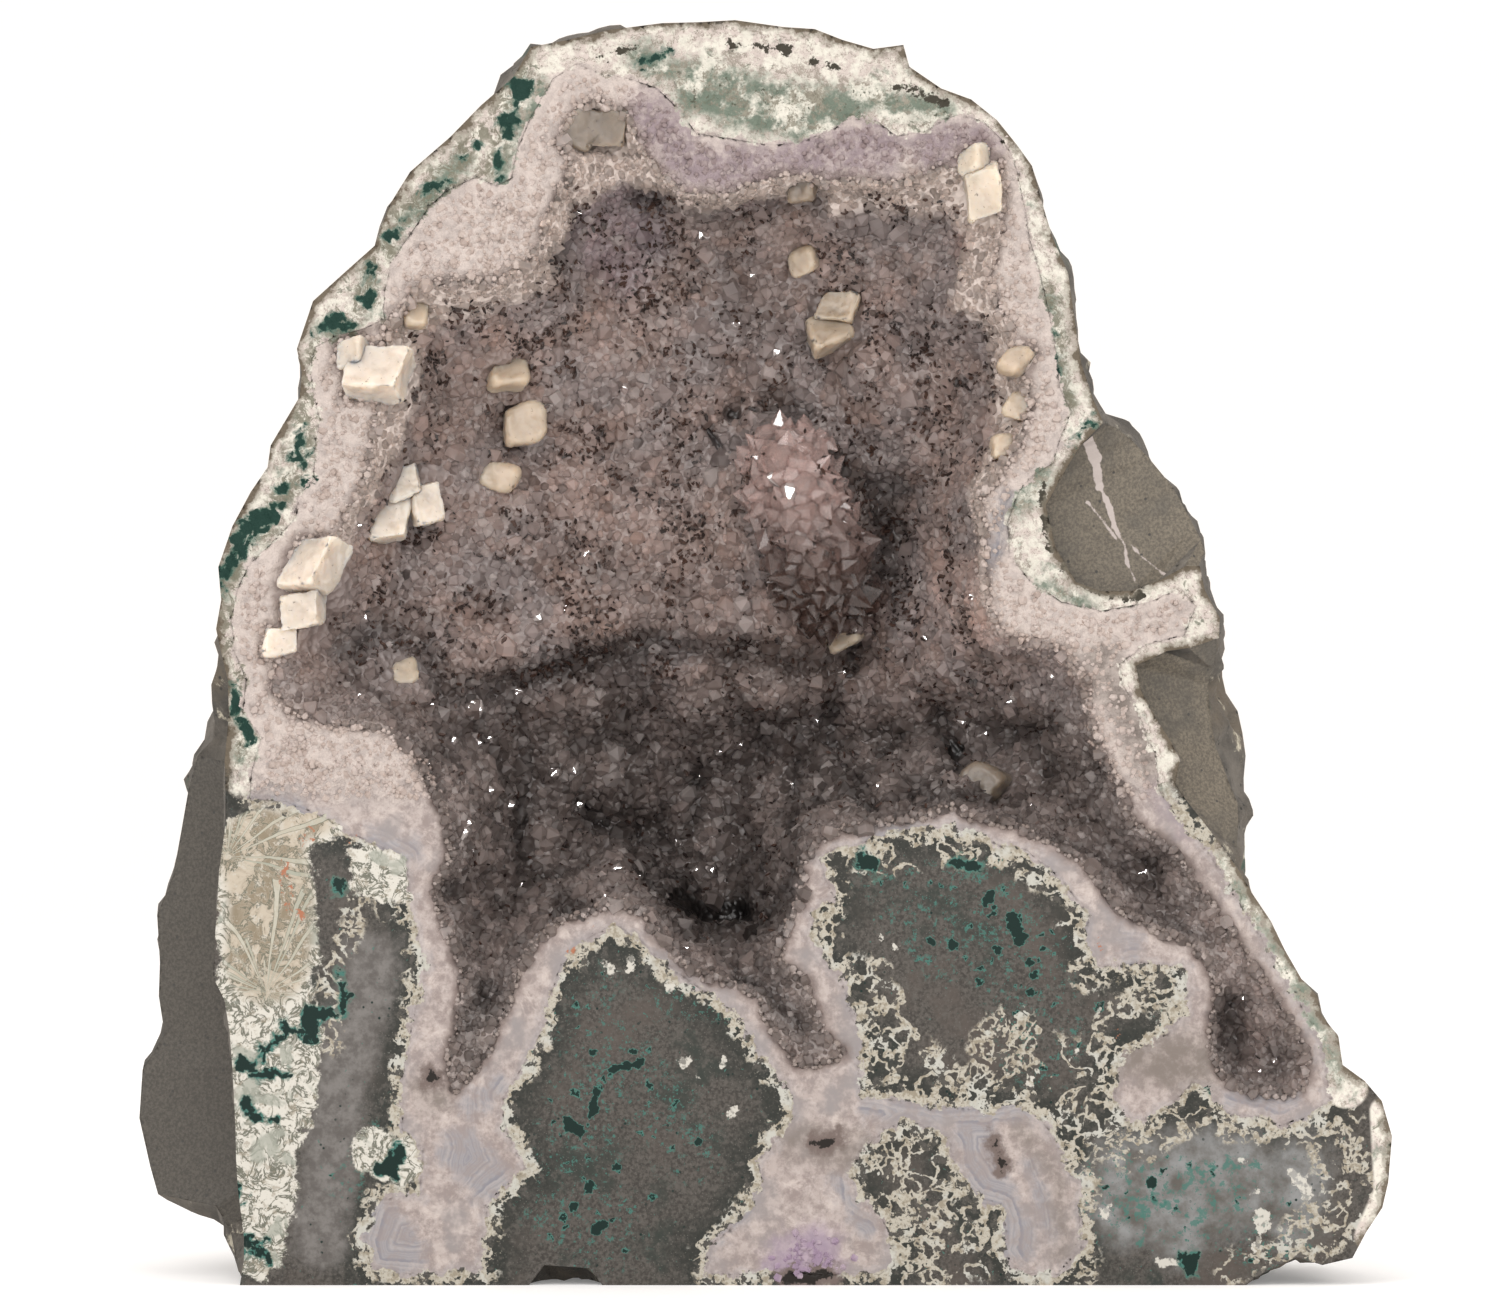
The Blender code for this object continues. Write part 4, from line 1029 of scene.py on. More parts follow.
def hollowShade(places):
    # painted shade: how dark the creases, holes, pockets and gaps between knobs are painted, 1 in
    # the open
    crease = within("creases", places, -0.0032, 0.0020)
    hole = within("holes", places, -0.0010, 0.0006)
    pocket = within("pockets", places, -0.0060, 0.0050)
    gap = ease(knobCores(places), 0.50, 0.80) * (1 - ease(places[:, 2], 0.165, 0.195))
    return (1 - 0.52 * crease) * (1 - 0.88 * hole) * (1 - 0.22 * pocket) * (1 - 0.40 * gap)


def toneMix(share, first, second):
    # blends colours row by row
    share = np.clip(np.asarray(share, float), 0, 1)[:, None]
    return np.asarray(first) * (1 - share) + np.asarray(second) * share


def hollowTones(places):
    # brown lilac above, dark grey purple below, pale towards the mouth, with painted shade and
    # painted light from the forms of the hollow
    broad, fine = roughNoise(places, 40, 2, 5.0), roughNoise(places, 110, 2, 6.0)
    upper = toneMix(ease(broad, -0.4, 0.4), druseTones["upper"], druseTones["upperCool"])
    upper = toneMix(ease(fine, 0.0, 0.6) * 0.7, upper, druseTones["upperWarm"])
    lower = toneMix(ease(fine, -0.4, 0.4), druseTones["lower"], druseTones["lowerDark"])
    share = ease(places[:, 2] + 0.010 * broad, druseTones["from"], druseTones["to"])
    found = toneMix(share, lower, upper)
    found = toneMix(within("stains", places, -0.004, 0.004), found, druseTones["stain"])
    found = toneMix(0.55 * within("violets", places, -0.006, 0.005), found, druseTones["violet"])
    # painted light over the lights strokes, painted shade from hollowShade
    lights = within("lights", places, -0.006, 0.006)
    found = found * (hollowShade(places) * (1 + 0.34 * lights))[:, None]
    reach = 0.0013 + 0.0100 * ease(places[:, 2], 0.165, 0.24) + 0.0016 * fine
    byMouth = 1 - ease(places[:, 1] - faceY - reach, -0.0026, 0.0018)
    mouth = toneMix(ease(places[:, 2], 0.125, 0.175), druseTones["mouthLow"], druseTones["mouth"])
    return toneMix(byMouth, found, mouth), byMouth


def makeLining():
    # the bed under the crystals
    material, tree, shader = newFinish("quartzLining", 0.35, 1.54)
    base = mixed(tree, clouded(tree, 240, 0.52, 0.70, 2, top=0.45), field(tree, "tone", "Color"),
                 (0.06, 0.045, 0.04))
    paint(tree, shader, base, cells(tree, 420), 0.8, 0.0014)
    return material


def addTone(mesh, values):
    tone = mesh.attributes.new("tone", "FLOAT_COLOR", "POINT")
    rows = np.column_stack([values, np.ones(len(values))])
    tone.data.foreach_set("color", rows.astype(np.float32).ravel())


calciteNodes = sorted(name for name in frame["nodes"] if name.startswith("calcite"))


def inCalcite(places, margin):
    # which places are within the box of a calcite block, grown by the margin
    inside = np.zeros(len(places), bool)
    for node in calciteNodes:
        low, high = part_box(node)
        inside |= np.all((places > np.array(low) - margin) & (places < np.array(high) + margin),
                         axis=1)
    return inside


liningShape = {"bandEdge": 0.0014, "wallEdge": 0.0026, "smoothing": 5, "bandRelief": 0.0013,
               "knobs": 0.0062, "knobSize": 0.018, "swells": 0.0016, "grain": 0.0006,
               "lip": 0.0030, "crease": 0.0026, "hole": 0.0030, "calciteGap": 0.0022}


def finishLining(piece):
    mesh = piece.data
    start = int(np.argmax(faceFacts(mesh)[0][:, 1]))
    backs = spreadFrom(mesh, [start], bandFaces)
    # finish numbers: 0 sawn quartz, 1 wall of the hollow, 2 hidden back
    finishes = np.full(len(mesh.polygons), 1, np.int32)
    finishes[backs] = 2
    finishes[bandFaces] = 0
    mesh.polygons.foreach_set("material_index", finishes)
    for material in (sawnFace, lining, lining):
        mesh.materials.append(material)
    print("lining parts", np.bincount(finishes))

    # sawn quartz meets the rock
    places = vertexPlaces(mesh)
    rim = places[:, 1] < faceY + 0.00005
    corners = np.unique(rockBorder.reshape(-1, 2), axis=0)
    for i in np.where(rim)[0]:
        away = np.hypot(corners[:, 0] - places[i, 0], corners[:, 1] - places[i, 2])
        nearest = int(np.argmin(away))
        if away[nearest] < 0.0008:
            places[i, 0], places[i, 2] = corners[nearest]
    setPlaces(mesh, places)

    def bandLongest(middle):
        return np.where(middle[:, 1] < faceY + 0.0003, liningShape["bandEdge"], 1.0)

    splitLongEdges(piece, bandLongest, (0,), turns=9, tidyTurns=5)

    # the plain tips of the CAD wall give way to modelled crystals
    mesh = piece.data
    wall = vertexMask(mesh, (1,)) & ~vertexMask(mesh, (0, 2))
    wall &= ~inCalcite(vertexPlaces(mesh), liningShape["calciteGap"])
    smoothPlaces(piece, wall, liningShape["smoothing"])
    splitLongEdges(piece, liningShape["wallEdge"], (1,), 5)
    mesh = piece.data
    wall = vertexMask(mesh, (1,)) & ~vertexMask(mesh, (0, 2))
    smoothPlaces(piece, wall, 2)

    places = vertexPlaces(mesh)
    normals = vertexNormals(mesh)
    deep = ease(places[:, 1] - faceY, 0.001, 0.008)
    swell = liningShape["swells"] * roughNoise(places[wall], 75, 2, 1.0)
    swell += liningShape["grain"] * roughNoise(places[wall], 330, 2, 3.0)
    below = 1 - 0.55 * ease(places[wall, 2], 0.165, 0.195)
    swell += liningShape["knobs"] * (0.50 - knobCores(places[wall]) ** 2) * below
    swell += liningShape["lip"] * within("lips", places[wall], -0.004, 0.004)
    swell -= liningShape["crease"] * within("creases", places[wall], -0.003, 0.002)
    swell -= liningShape["hole"] * within("holes", places[wall], -0.001, 0.001)
    places[wall] += normals[wall] * (swell * deep[wall])[:, None]
    band = vertexMask(mesh, (0,))
    rough = ease(places[:, 2], rockShape["roughFrom"], rockShape["roughFrom"] + 0.012)
    byMouth = 1 - ease(distanceTo(mouthBorder, places), 0.0, 0.005)
    relief = liningShape["bandRelief"] * brokenRelief(places[band], 150)
    fade = ease(distanceTo(rockBorder, places), 0.0, 0.0015)
    places[band, 1] += relief * np.maximum(rough, byMouth * 0.8)[band] * fade[band]
    places[band, 1] += 0.0016 * byMouth[band] ** 2
    setPlaces(mesh, places)
    faceFields(mesh, rockBorder, mouthBorder, outerBorder, False)
    # the lining's tone carries the painted shade and painted light of hollowTones
    found, byMouth = hollowTones(places)
    bed = druseTones["bed"] + (druseTones["bedMouth"] - druseTones["bed"]) * byMouth
    addTone(mesh, found * bed[:, None])
    splitFaceFinish(mesh, False)
    takeUp(piece)
    bpy.ops.object.shade_smooth_by_angle(angle=math.radians(60))
    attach(piece, "root")
    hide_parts("quartz_crust")
    print("quartz lining", len(mesh.polygons))


lining = makeLining()
finishLining(crustPiece)


# quartz crystals of the hollow

def makePointFinish(name, transmission, roughness, ior):
    # each crystal brings its own colour
    material, tree, shader = newFinish(name, roughness, ior)
    own = field(tree, "tone", "Color")
    cloudy = mixed(tree, 0.30, own, (0.62, 0.55, 0.53))
    paint(tree, shader, mixed(tree, clouded(tree, 260, 0.44, 0.64, 1), own, cloudy))
    shader.inputs["Transmission Weight"].default_value = transmission
    return material


def quartzPoint(name, width, length, tipShare, lean):
    # one six-sided crystal of about unit size, its foot at the origin
    deselectAll()
    bpy.ops.mesh.primitive_cylinder_add(vertices=6, radius=width / 2, depth=length * (1 - tipShare),
                                        location=(0, 0, length * (1 - tipShare) / 2))
    point = bpy.context.object
    point.name = name
    bpy.ops.object.transform_apply(location=True, rotation=True, scale=True)
    clearSelection(point.data)
    for face in point.data.polygons:
        if face.normal.z > 0.9:
            face.select = True
    bpy.ops.object.mode_set(mode="EDIT")
    bpy.context.tool_settings.mesh_select_mode = (False, False, True)
    bpy.ops.mesh.extrude_region_move(
        TRANSFORM_OT_translate={"value": (lean * width, 0.4 * lean * width, length * tipShare)})
    bpy.ops.mesh.merge(type="CENTER")
    bpy.ops.object.mode_set(mode="OBJECT")
    top = length * (1 - tipShare)
    for i, vertex in enumerate(v for v in point.data.vertices if abs(v.co.z - top) < 1e-4):
        vertex.co.z -= 0.16 * length * (0.2 + (i % 2)) * tipShare
    return point


pointModels = [("pointA", 0.95, 0.95, 0.42, 0.05), ("pointB", 1.05, 0.90, 0.40, -0.12),
               ("pointC", 0.85, 1.00, 0.44, 0.14), ("pointD", 1.12, 0.90, 0.45, 0.02)]


def makeModels():
    folder = bpy.data.collections.new("pointModels")
    bpy.context.scene.collection.children.link(folder)
    for settings in pointModels:
        model = quartzPoint(*settings)
        moveTo(model, folder)
    deselectAll()
    bpy.ops.mesh.primitive_cylinder_add(vertices=5, radius=0.6, depth=0.9, location=(0, 0, 0))
    speck = bpy.context.object
    speck.name = "speck"
    for vertex in speck.data.vertices:
        vertex.co.x *= 2.1 if vertex.co.x > 0 else 1.2
        vertex.co.y *= 0.7
    moveTo(speck, folder)
    return folder


def moveTo(model, folder):
    for owner in list(model.users_collection):
        owner.objects.unlink(model)
    folder.objects.link(model)


def instanceTree(folder):
    tree = bpy.data.node_groups.new("placeCrystals", "GeometryNodeTree")
    tree.interface.new_socket("Geometry", in_out="INPUT", socket_type="NodeSocketGeometry")
    tree.interface.new_socket("Geometry", in_out="OUTPUT", socket_type="NodeSocketGeometry")
    source = tree.nodes.new("NodeGroupInput")
    result = tree.nodes.new("NodeGroupOutput")
    models = tree.nodes.new("GeometryNodeCollectionInfo")
    models.inputs["Collection"].default_value = folder
    models.inputs["Separate Children"].default_value = True
    models.inputs["Reset Children"].default_value = True
    spread = tree.nodes.new("GeometryNodeInstanceOnPoints")
    spread.inputs["Pick Instance"].default_value = True
    solid = tree.nodes.new("GeometryNodeRealizeInstances")

    def named(name, kind):
        node = tree.nodes.new("GeometryNodeInputNamedAttribute")
        node.data_type = kind
        node.inputs["Name"].default_value = name
        return next(s for s in node.outputs if s.enabled and s.name == "Attribute")

    turn = tree.nodes.new("FunctionNodeEulerToRotation")
    tree.links.new(named("turn", "FLOAT_VECTOR"), turn.inputs[0])
    tree.links.new(source.outputs[0], spread.inputs["Points"])
    tree.links.new(models.outputs[0], spread.inputs["Instance"])
    tree.links.new(named("kind", "INT"), spread.inputs["Instance Index"])
    tree.links.new(turn.outputs[0], spread.inputs["Rotation"])
    tree.links.new(named("size", "FLOAT_VECTOR"), spread.inputs["Scale"])
    tree.links.new(spread.outputs[0], solid.inputs[0])
    tree.links.new(solid.outputs[0], result.inputs[0])
    return tree


def sprinkle(name, crystals, tree, material):
    # crystals: rows of (place, rotation, width, length, kind, tone)
    mesh = bpy.data.meshes.new(name)
    mesh.from_pydata([tuple(c[0]) for c in crystals], [], [])
    turns, sizes = [], []
    for _, rotation, width, length, _, _ in crystals:
        turns.append(tuple(rotation.to_euler()))
        sizes.append((width, width, length))
    for key, kind, values in (("turn", "FLOAT_VECTOR", turns), ("size", "FLOAT_VECTOR", sizes)):
        mesh.attributes.new(key, kind, "POINT").data.foreach_set(
            "vector", np.array(values, np.float32).ravel())
    mesh.attributes.new("kind", "INT", "POINT").data.foreach_set(
        "value", np.array([c[4] for c in crystals], np.int32))
    addTone(mesh, np.array([c[5] for c in crystals]))
    piece = bpy.data.objects.new(name, mesh)
    bpy.context.scene.collection.objects.link(piece)
    takeUp(piece)
    piece.modifiers.new("crystals", "NODES").node_group = tree
    bpy.ops.object.modifier_apply(modifier="crystals")
    piece.data.materials.clear()
    piece.data.materials.append(material)
    for key in ("turn", "size", "kind"):
        if key in piece.data.attributes:
            piece.data.attributes.remove(piece.data.attributes[key])
    bpy.ops.object.shade_flat()
    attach(piece, "root")
    print(name, len(crystals), "crystals,", len(piece.data.polygons), "faces")
    return piece


druse = {"seed": 7, "tries": 80000, "apart": 0.55, "smallest": 0.0025, "largest": 0.0062,
         "fingerSize": (0.0052, 0.0094), "fingerHigh": (0.84, 0.62, 0.57),
         "fingerLow": (0.16, 0.100, 0.082), "tilt": 0.34, "sink": 0.58, "lit": 0.06,
         "glints": 80, "specks": 6000, "speckSize": (0.00036, 0.00090), "outOfFace": 0.0035}


def wallSpots(piece, random_, count):
    # random places on the wall of the hollow with their normals, evenly spread by area
    _, normals, areas, finishes = faceFacts(piece.data)
    wallFaces = np.where(finishes == 1)[0]
    share = np.cumsum(areas[wallFaces])
    picks = wallFaces[np.minimum(np.searchsorted(share, random_.random(count) * share[-1]),
                                 len(wallFaces) - 1)]
    places = vertexPlaces(piece.data)
    corners = np.array([piece.data.polygons[face].vertices[:] for face in picks])
    a, b = random_.random(count), random_.random(count)
    over = a + b > 1
    a[over], b[over] = 1 - a[over], 1 - b[over]
    first, second, third = places[corners[:, 0]], places[corners[:, 1]], places[corners[:, 2]]
    spots = first + a[:, None] * (second - first) + b[:, None] * (third - first)
    return spots, normals[picks].astype(float), share[-1]


def onFingerMask(places):
    segment = [(*onFace(790, 462), *onFace(826, 578))]
    return (distanceTo(segment, places) < 0.0135) & (places[:, 1] < faceY + 0.045)


def growDruse(piece):
    random_ = np.random.default_rng(druse["seed"])
    spots, normals, area = wallSpots(piece, random_, druse["tries"])
    keep = ~inCalcite(spots, 0.0)
    spots, normals = spots[keep], normals[keep]
    count = len(spots)
    finger = onFingerMask(spots)
    widths = druse["smallest"] * np.exp(np.abs(random_.normal(size=count)) * 0.42)
    widths *= 1.15 - 0.15 * ease(spots[:, 2], 0.13, 0.18)
    widths *= 0.62 + 0.38 * ease(spots[:, 1] - faceY, 0.003, 0.014)
    widths = np.minimum(widths, druse["largest"])
    low, high = druse["fingerSize"]
    widths[finger] = (low + (high - low) * random_.random(count) ** 2)[finger]
    # crystal tones carry the painted shade and painted light of hollowTones
    found = hollowTones(spots)[0] * (1 + 0.18 * random_.normal(size=count)[:, None])
    # painted highlight: a share of the crystals gets the pale lit tone, standing for facets that
    # catch the light
    found = toneMix(0.55 * (random_.random(count) < druse["lit"]), found, druseTones["lit"])
    drop = ease(spots[:, 2], onFace(0, 590)[1], onFace(0, 470)[1])
    found[finger] = toneMix(drop, druse["fingerLow"], druse["fingerHigh"])[finger]
    found = np.clip(found, 0.01, 0.95)
    empty = strokeField(hollowForms["holes"], spots) > 0.0
    tree = kdtree.KDTree(count)
    for i, spot in enumerate(spots):
        tree.insert(spot, i)
    tree.balance()
    taken = np.zeros(count, bool)
    crystals, fingerCrystals = [], []
    for i in range(count):
        reach = druse["apart"] * (widths[i] + high) / 2
        if any(taken[j] and away < druse["apart"] * (widths[i] + widths[j]) / 2
               for _, j, away in tree.find_range(spots[i], reach)):
            continue
        taken[i] = True
        row = growCrystal(spots[i], normals[i], widths[i], 0.45 if finger[i] else druse["sink"],
                          druse["tilt"] * (2.2 if finger[i] else 1), found[i], random_)
        if row and not empty[i]:
            (fingerCrystals if finger[i] else crystals).append(row)
    print("wall", round(float(area), 4), "crystals", len(crystals), len(fingerCrystals))
    return crystals, fingerCrystals


def growCrystal(spot, normal, width, sink, tilt, tone, random_):
    normal = Vector(normal)
    direction = (normal + Vector(random_.normal(size=3)) * tilt).normalized()
    if direction.dot(normal) < 0.35:
        direction = normal
    length = width * (0.8 + 0.4 * random_.random()) * (1.35 if sink < 0.5 else 1)
    foot = Vector(spot) - direction * length * sink
    if (foot + direction * length * 1.2).y < faceY - druse["outOfFace"]:
        return None
    rotation = turnTo(direction, random_.random() * 6.3)
    return (foot, rotation, width, length, int(random_.integers(4)), tone)


def turnTo(direction, roll):
    return direction.to_track_quat("Z", "Y") @ Euler((0, 0, roll)).to_quaternion()


def makeGlints(crystals, fingerCrystals):
    # a few crystals that throw the small lamps back to the camera
    random_ = np.random.default_rng(druse["seed"] + 2)
    facets = [[face.normal.copy() for face in models.objects[name].data.polygons
               if face.normal.z > 0.3] for name, *_ in pointModels]
    sparks = [Vector(place) for name, place, _, _ in studio["lamps"] if name.startswith("spark")]
    glints = []
    weights = np.array([1.0 if row[0].z < 0.18 else 0.25 for row in crystals])
    weights *= [1.0 if row[0].y > faceY + 0.006 else 0.1 for row in crystals]
    picks = list(random_.choice(len(crystals), druse["glints"] * 3, replace=False,
                                p=weights / weights.sum()))
    chosen = [crystals[pick] for pick in picks]
    for column, line in ((770, 450), (803, 473)):
        x, z = onFace(column, line)
        chosen.insert(0, min(fingerCrystals, key=lambda row: (row[0].x - x) ** 2 +
                             (row[0].z - z) ** 2 + 0.3 * (row[0].y - faceY) ** 2))
    for foot, rotation, width, length, kind, _ in chosen:
        if len(glints) == druse["glints"]:
            break
        spark = sparks[int(random_.integers(len(sparks)))]
        halfWay = ((camera.location - foot).normalized() + (spark - foot).normalized()).normalized()
        turned = [rotation @ Vector((n.x / width, n.y / width, n.z / length)).normalized()
                  for n in facets[kind]]
        best = max(turned, key=lambda n: n.dot(halfWay))
        if best.dot(halfWay) > 0.70 or len(glints) < 2:
            # each glint crystal also gets the pale lit tone, a painted highlight over its real
            # reflection
            glints.append((foot, best.rotation_difference(halfWay) @ rotation, width, length, kind,
                           druseTones["lit"]))
    return glints


rimCrystals = {"seed": 21, "apart": 0.0008, "size": (0.0010, 0.0036), "bandSize": (0.0011, 0.0026),
               "bandCount": 5200, "bandSink": 0.76, "pale": (0.53, 0.448, 0.405),
               "brown": (0.42, 0.338, 0.30), "lilac": (0.230, 0.172, 0.184),
               "purpleCount": 70, "purple": (0.33, 0.245, 0.33)}


def growRim(piece):
    # crystals along the broken mouth of the hollow and over the unpolished quartz above
    random_ = np.random.default_rng(rimCrystals["seed"])
    rows = []
    low, high = rimCrystals["size"]
    pale, brown = np.array(rimCrystals["pale"]), np.array(rimCrystals["brown"])
    for x1, z1, x2, z2 in mouthBorder:
        run = Vector((x2 - x1, 0, z2 - z1))
        side = Vector((z2 - z1, 0, x1 - x2)).normalized()
        probe = np.array([[(x1 + x2) / 2 + side.x * 0.002, faceY, (z1 + z2) / 2 + side.z * 0.002]])
        if not insideMouth(probe)[0]:
            side = -side
        for step in range(max(1, int(run.length / rimCrystals["apart"]))):
            along = (step + random_.random()) * rimCrystals["apart"] / max(run.length, 1e-6)
            rank = min(1.0, max(0.0, (z1 - 0.125) / 0.02))
            past = -0.0012 + (0.0026 + 0.0008 * rank) * random_.random()
            inward = max(0.0, past) * 1.5 + 0.0008 * random_.random()
            spot = Vector((x1, faceY + inward, z1)) + run * min(along, 1) + side * past
            lump = 0.5 + 0.5 * noise.noise(spot * 160)
            width = low + (high - low) * lump ** 1.5 * random_.random() ** 1.6
            width *= 0.90 + 0.10 * rank
            lean = (side * max(0.0, past * 900) + Vector((0, -0.8, 0))).normalized()
            tone = pale + (brown - pale) * min(1.0, inward / 0.002 + 0.3 * random_.random())
            tone = tone * (0.62 + 0.38 * rank)
            rows.append(growCrystal(spot, lean, width, 0.55, 0.35, tone, random_))
    middles, _, areas, finishes = faceFacts(piece.data)
    band = np.where((middles[:, 1] < faceY + 0.004) & (finishes != 1) & (finishes != 2)
                    & (middles[:, 2] > rockShape["roughFrom"] + 0.006))[0]
    share = np.cumsum(areas[band])
    lots = random_.random(rimCrystals["bandCount"]) * share[-1] * 0.999
    picks = band[np.searchsorted(share, lots)]
    spots = middles[picks].astype(float) + random_.normal(size=(len(picks), 3)) * 0.0003
    spots = spots[distanceTo(rockBorder, spots) > 0.0022]
    spots = spots[~inCalcite(spots, -0.0005)]
    lilacShare = ease(strokeField(zones["lilac"], spots), -0.004, 0.004)
    tones_ = toneMix(random_.random(len(spots)) ** 2, rimCrystals["pale"], rimCrystals["brown"])
    tones_ = toneMix(lilacShare * 0.8, tones_, rimCrystals["lilac"])
    low, high = rimCrystals["bandSize"]
    for spot, tone in zip(spots, tones_):
        width = low + (high - low) * random_.random() ** 2
        rows.append(growCrystal(spot, (0, -1, 0), width, rimCrystals["bandSink"], 0.5, tone,
                                random_))
    centreX, centreZ = onFace(803, 1256)
    for _ in range(rimCrystals["purpleCount"]):
        spot = (centreX + random_.normal() * 0.0050, faceY, centreZ + random_.normal() * 0.0028)
        if spot[2] > 0.001:
            rows.append(growCrystal(spot, (0, -1, 0), 0.0012 + 0.0022 * random_.random(), 0.70, 0.5,
                                    rimCrystals["purple"], random_))
    # none stands too far out of the face or reaches below the cut base
    rows = [row for row in rows if row and row[0].z > 0.7 * row[2]]
    print("rim crystals", len(rows))
    return rows


def insideMouth(places):
    # whether places of the sawn face lie within the mouth of the hollow
    inside = np.zeros(len(places), bool)
    for x1, z1, x2, z2 in mouthBorder:
        if z1 != z2:
            across = (z1 > places[:, 2]) != (z2 > places[:, 2])
            inside ^= across & (places[:, 0] < x1 + (places[:, 2] - z1) * (x2 - x1) / (z2 - z1))
    return inside


def makeSpeck():
    material, tree, shader = newFinish("ironSpeck", 0.45)
    base = mixed(tree, clouded(tree, 260, 0.4, 0.6, 3), (0.018, 0.011, 0.009),
                 (0.052, 0.026, 0.018))
    paint(tree, shader, base, cloud(tree, 2500, 2), 0.4, 0.0002)
    return material


def growSpecks(crystals):
    # small iron specks in clumps on the tips of the crystals
    random_ = np.random.default_rng(druse["seed"] + 1)
    feet = np.array([tuple(row[0]) for row in crystals])
    clump = roughNoise(feet, 70, 3, 9.0)
    wanted = ease(clump, -0.25, 0.55) ** 1.5 * (0.10 + 0.90 * ease(feet[:, 2], 0.145, 0.185)) + 0.03
    wanted *= ease(feet[:, 1] - faceY, 0.004, 0.014)
    wanted *= np.array([row[2] for row in crystals]) ** 2
    wanted *= 1 + within("creases", feet, -0.006, 0.0) * (feet[:, 2] > 0.16)
    picks = random_.choice(len(crystals), druse["specks"], p=wanted / wanted.sum())
    rows = []
    smallest, largest = druse["speckSize"]
    for pick in picks:
        foot, rotation, width, length, _, _ = crystals[pick]
        size = smallest + (largest - smallest) * random_.random() ** 2
        along = 0.62 + 0.30 * random_.random()
        wide = 0.46 * width * (0.96 - along) / 0.40
        turn = random_.random() * 6.3
        local = Vector((math.cos(turn) * wide, math.sin(turn) * wide, along * length))
        outward = rotation @ Vector((math.cos(turn), math.sin(turn), 0.8)).normalized()
        rows.append((foot + rotation @ local + outward * 0.0001,
                     turnTo(outward, random_.random() * 6.3), size * (0.8 + 0.9 * random_.random()),
                     size * 0.6, 4, (0.03, 0.02, 0.015)))
    return rows


models = makeModels()
placer = instanceTree(models)
drusePoint = makePointFinish("drusePoint", 0.7, 0.38, 1.30)
fingerPoint = makePointFinish("fingerPoint", 0.75, 0.13, 1.50)
glintPoint = makePointFinish("glintPoint", 0.6, 0.03, 1.54)
rimPoint = makePointFinish("rimPoint", 0.25, 0.55, 1.25)
druseCrystals, fingerCrystals = growDruse(crustPiece)
sprinkle("glintPoints", makeGlints(druseCrystals, fingerCrystals), placer, glintPoint)
druseCrystals.sort(key=lambda row: row[0].z)
share = math.ceil(len(druseCrystals) / 3)
for number, pieceName in enumerate(("druseLower", "druseMiddle", "druseUpper")):
    sprinkle(pieceName, druseCrystals[number * share:(number + 1) * share], placer, drusePoint)
sprinkle("fingerPoints", fingerCrystals, placer, fingerPoint)
sprinkle("rimPoints", growRim(crustPiece), placer, rimPoint)
sprinkle("ironSpecks", growSpecks(druseCrystals + fingerCrystals[::3]), placer, makeSpeck())
for model in list(models.objects):
    bpy.data.objects.remove(model)
bpy.data.collections.remove(models)


# calcite blocks

def makeCalcite():
    material, tree, shader = newFinish("calcite", 0.36, 1.58)
    own = field(tree, "tone", "Color")
    base = layered(tree, own, (clouded(tree, 150, 0.50, 0.72, 4, 0.65, top=0.5),
                               mixed(tree, 0.55, own, (0.20, 0.145, 0.09))),
                   (clouded(tree, 900, 0.66, 0.72, 2, top=0.6), (0.08, 0.055, 0.04)))
    shader.inputs["Subsurface Weight"].default_value = 0.95
    shader.inputs["Subsurface Radius"].default_value = (0.0090, 0.0072, 0.0052)
    shader.inputs["Subsurface Scale"].default_value = 1.0
    relief = plus(tree, cloud(tree, 260, 4), times(tree, cells(tree, 500), 0.3))
    paint(tree, shader, base, relief, 0.25, 0.0006)
    return material


# the brown tone of the blocks under the rim, in the top pocket and on the lower ledge is partly
# painted shade
calciteShape = {"bevel": 0.0014, "edge": 0.0010, "relief": 0.0004, "swell": 0.0012, "rounding": 550,
                "pale": (0.565, 0.495, 0.425), "tan": (0.405, 0.33, 0.255),
                "brown": (0.185, 0.150, 0.118),
                "cream": (0.48, 0.415, 0.34), "creamOnes": ("calcite_right_rim",),
                "paleOnes": ("calcite_left_rim", "calcite_edge_cluster", "calcite_left_cluster"),
                "brownOnes": ("calcite_top_pocket", "calcite_under_rim", "calcite_lower_ledge")}


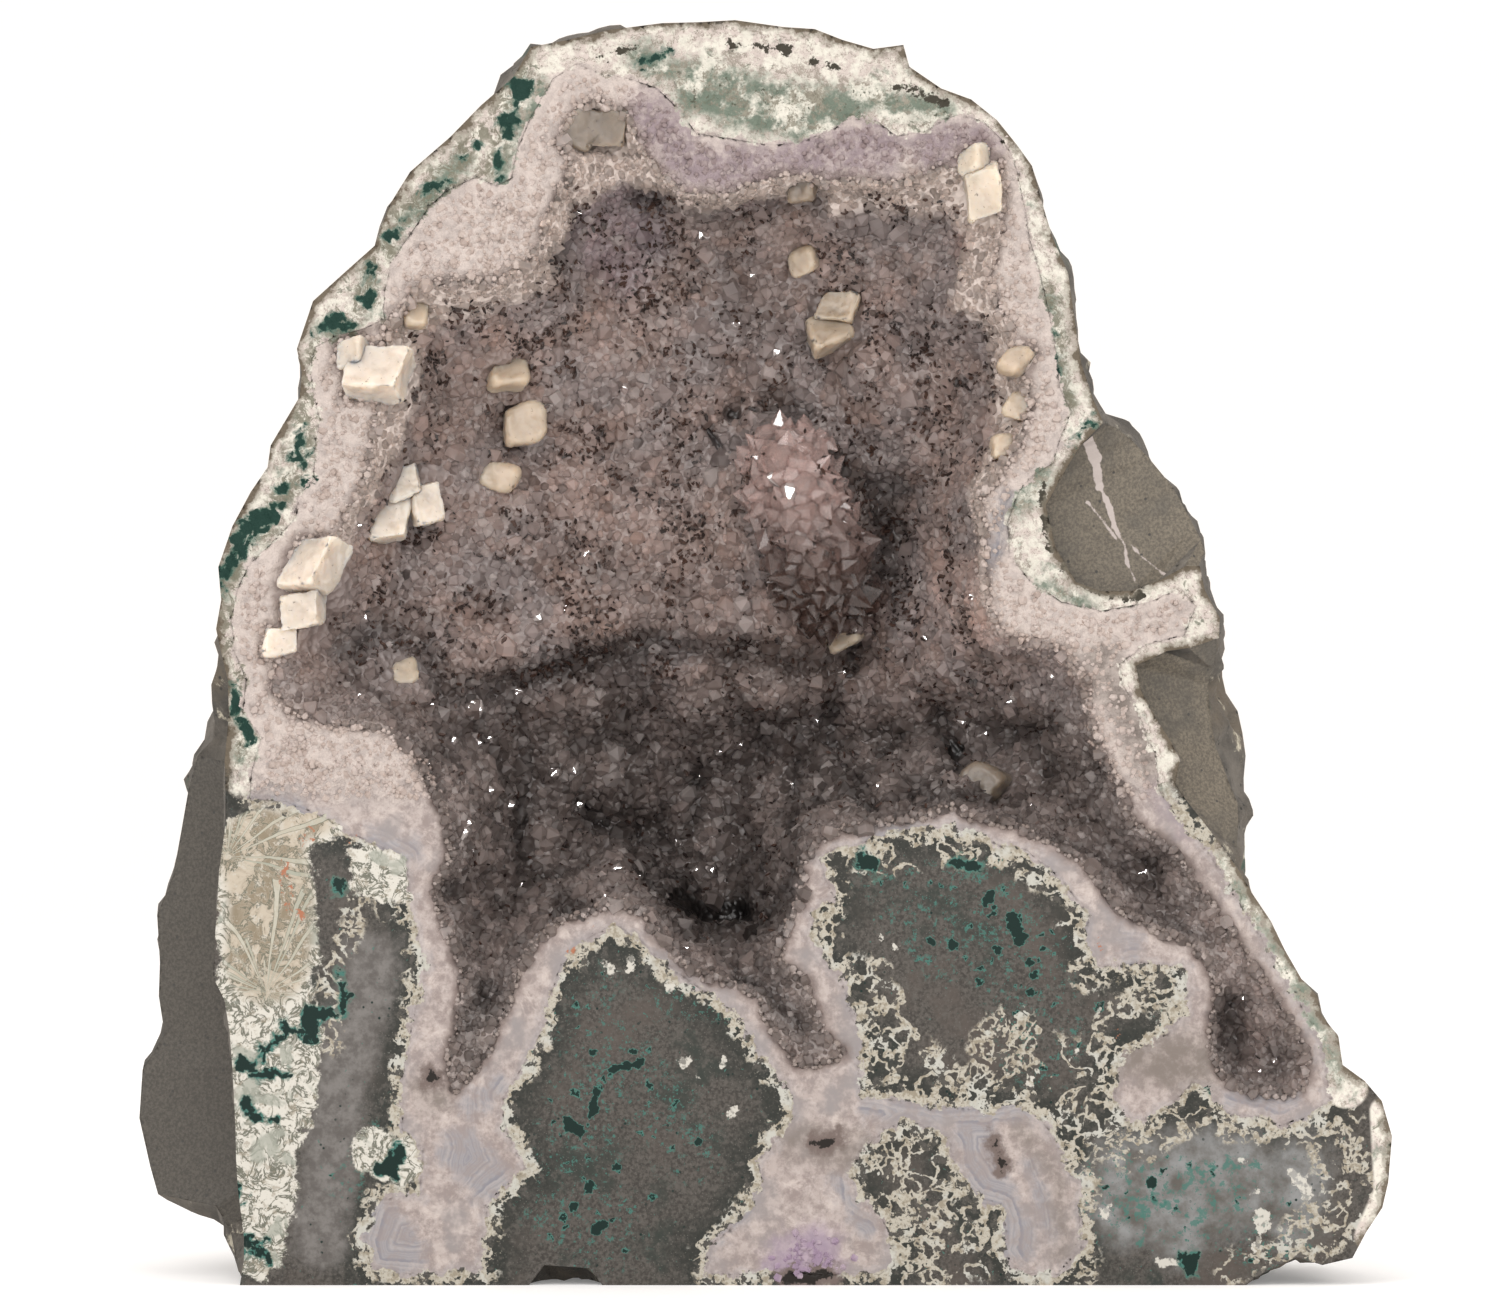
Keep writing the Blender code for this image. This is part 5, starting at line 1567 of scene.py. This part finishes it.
def buildCalcite(node):
    words = node.split("_")
    piece = copyOf(node, words[0] + "".join(word.capitalize() for word in words[1:]))
    takeUp(piece)
    bevel = piece.modifiers.new("softEdges", "BEVEL")
    places = vertexPlaces(piece.data)
    size = min(places.max(axis=0) - places.min(axis=0))
    bevel.width = min(calciteShape["bevel"], 0.13 * size)
    bevel.segments = 3
    bevel.limit_method = "ANGLE"
    bevel.angle_limit = math.radians(25)
    bpy.ops.object.modifier_apply(modifier="softEdges")
    bpy.ops.object.mode_set(mode="EDIT")
    bpy.ops.mesh.select_all(action="SELECT")
    bpy.ops.mesh.quads_convert_to_tris()
    bpy.ops.object.mode_set(mode="OBJECT")
    splitLongEdges(piece, calciteShape["edge"], (0,), 5)
    before = vertexPlaces(piece.data)
    passes = round(size * calciteShape["rounding"])
    smoothPlaces(piece, np.ones(len(before), bool), max(3, min(11, passes)))
    places = vertexPlaces(piece.data)
    normals = vertexNormals(piece.data)
    filled = ((places - before) * normals).sum(axis=1)
    swell = calciteShape["relief"] * roughNoise(places, 300, 3, len(node))
    swell += calciteShape["swell"] * (0.4 + roughNoise(places, 110, 1, len(node) + 3.0))
    setPlaces(piece.data, places + normals * swell[:, None])
    kind = next((name for name in ("pale", "cream", "brown")
                 if node in calciteShape[name + "Ones"]), "tan")
    tone = np.array(calciteShape[kind])
    # painted shade in the hollows that the smoothing filled, painted light on the ridges it wore
    # down
    shade = 1 - 0.60 * ease(filled, 0.00006, 0.00040) + 0.10 * ease(-filled, 0.0001, 0.0005)
    addTone(piece.data, tone * (shade * (1 + 0.16 * roughNoise(places, 90, 2, 8.0)))[:, None])
    piece.data.materials.clear()
    piece.data.materials.append(calcite)
    takeUp(piece)
    bpy.ops.object.shade_smooth_by_angle(angle=math.radians(30))
    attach(piece, "root")
    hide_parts(node)


calcite = makeCalcite()
for calciteNode in calciteNodes:
    buildCalcite(calciteNode)
print("calcite blocks", len(calciteNodes))


# floor

def buildFloor():
    deselectAll()
    bpy.ops.mesh.primitive_circle_add(vertices=96, radius=9, fill_type="NGON", location=(0, 0, 0))
    floor = bpy.context.object
    floor.name = "floor"
    material, tree, shader = newFinish("paleFloor", 0.6)
    paint(tree, shader, mixed(tree, cloud(tree, 3, 2), (0.88, 0.88, 0.88), (0.90, 0.90, 0.90)))
    shader.inputs["Specular IOR Level"].default_value = 0.1
    shader.inputs["Emission Color"].default_value = (1, 1, 1, 1)
    shader.inputs["Emission Strength"].default_value = 0.16
    floor.data.materials.append(material)


buildFloor()
deselectAll()
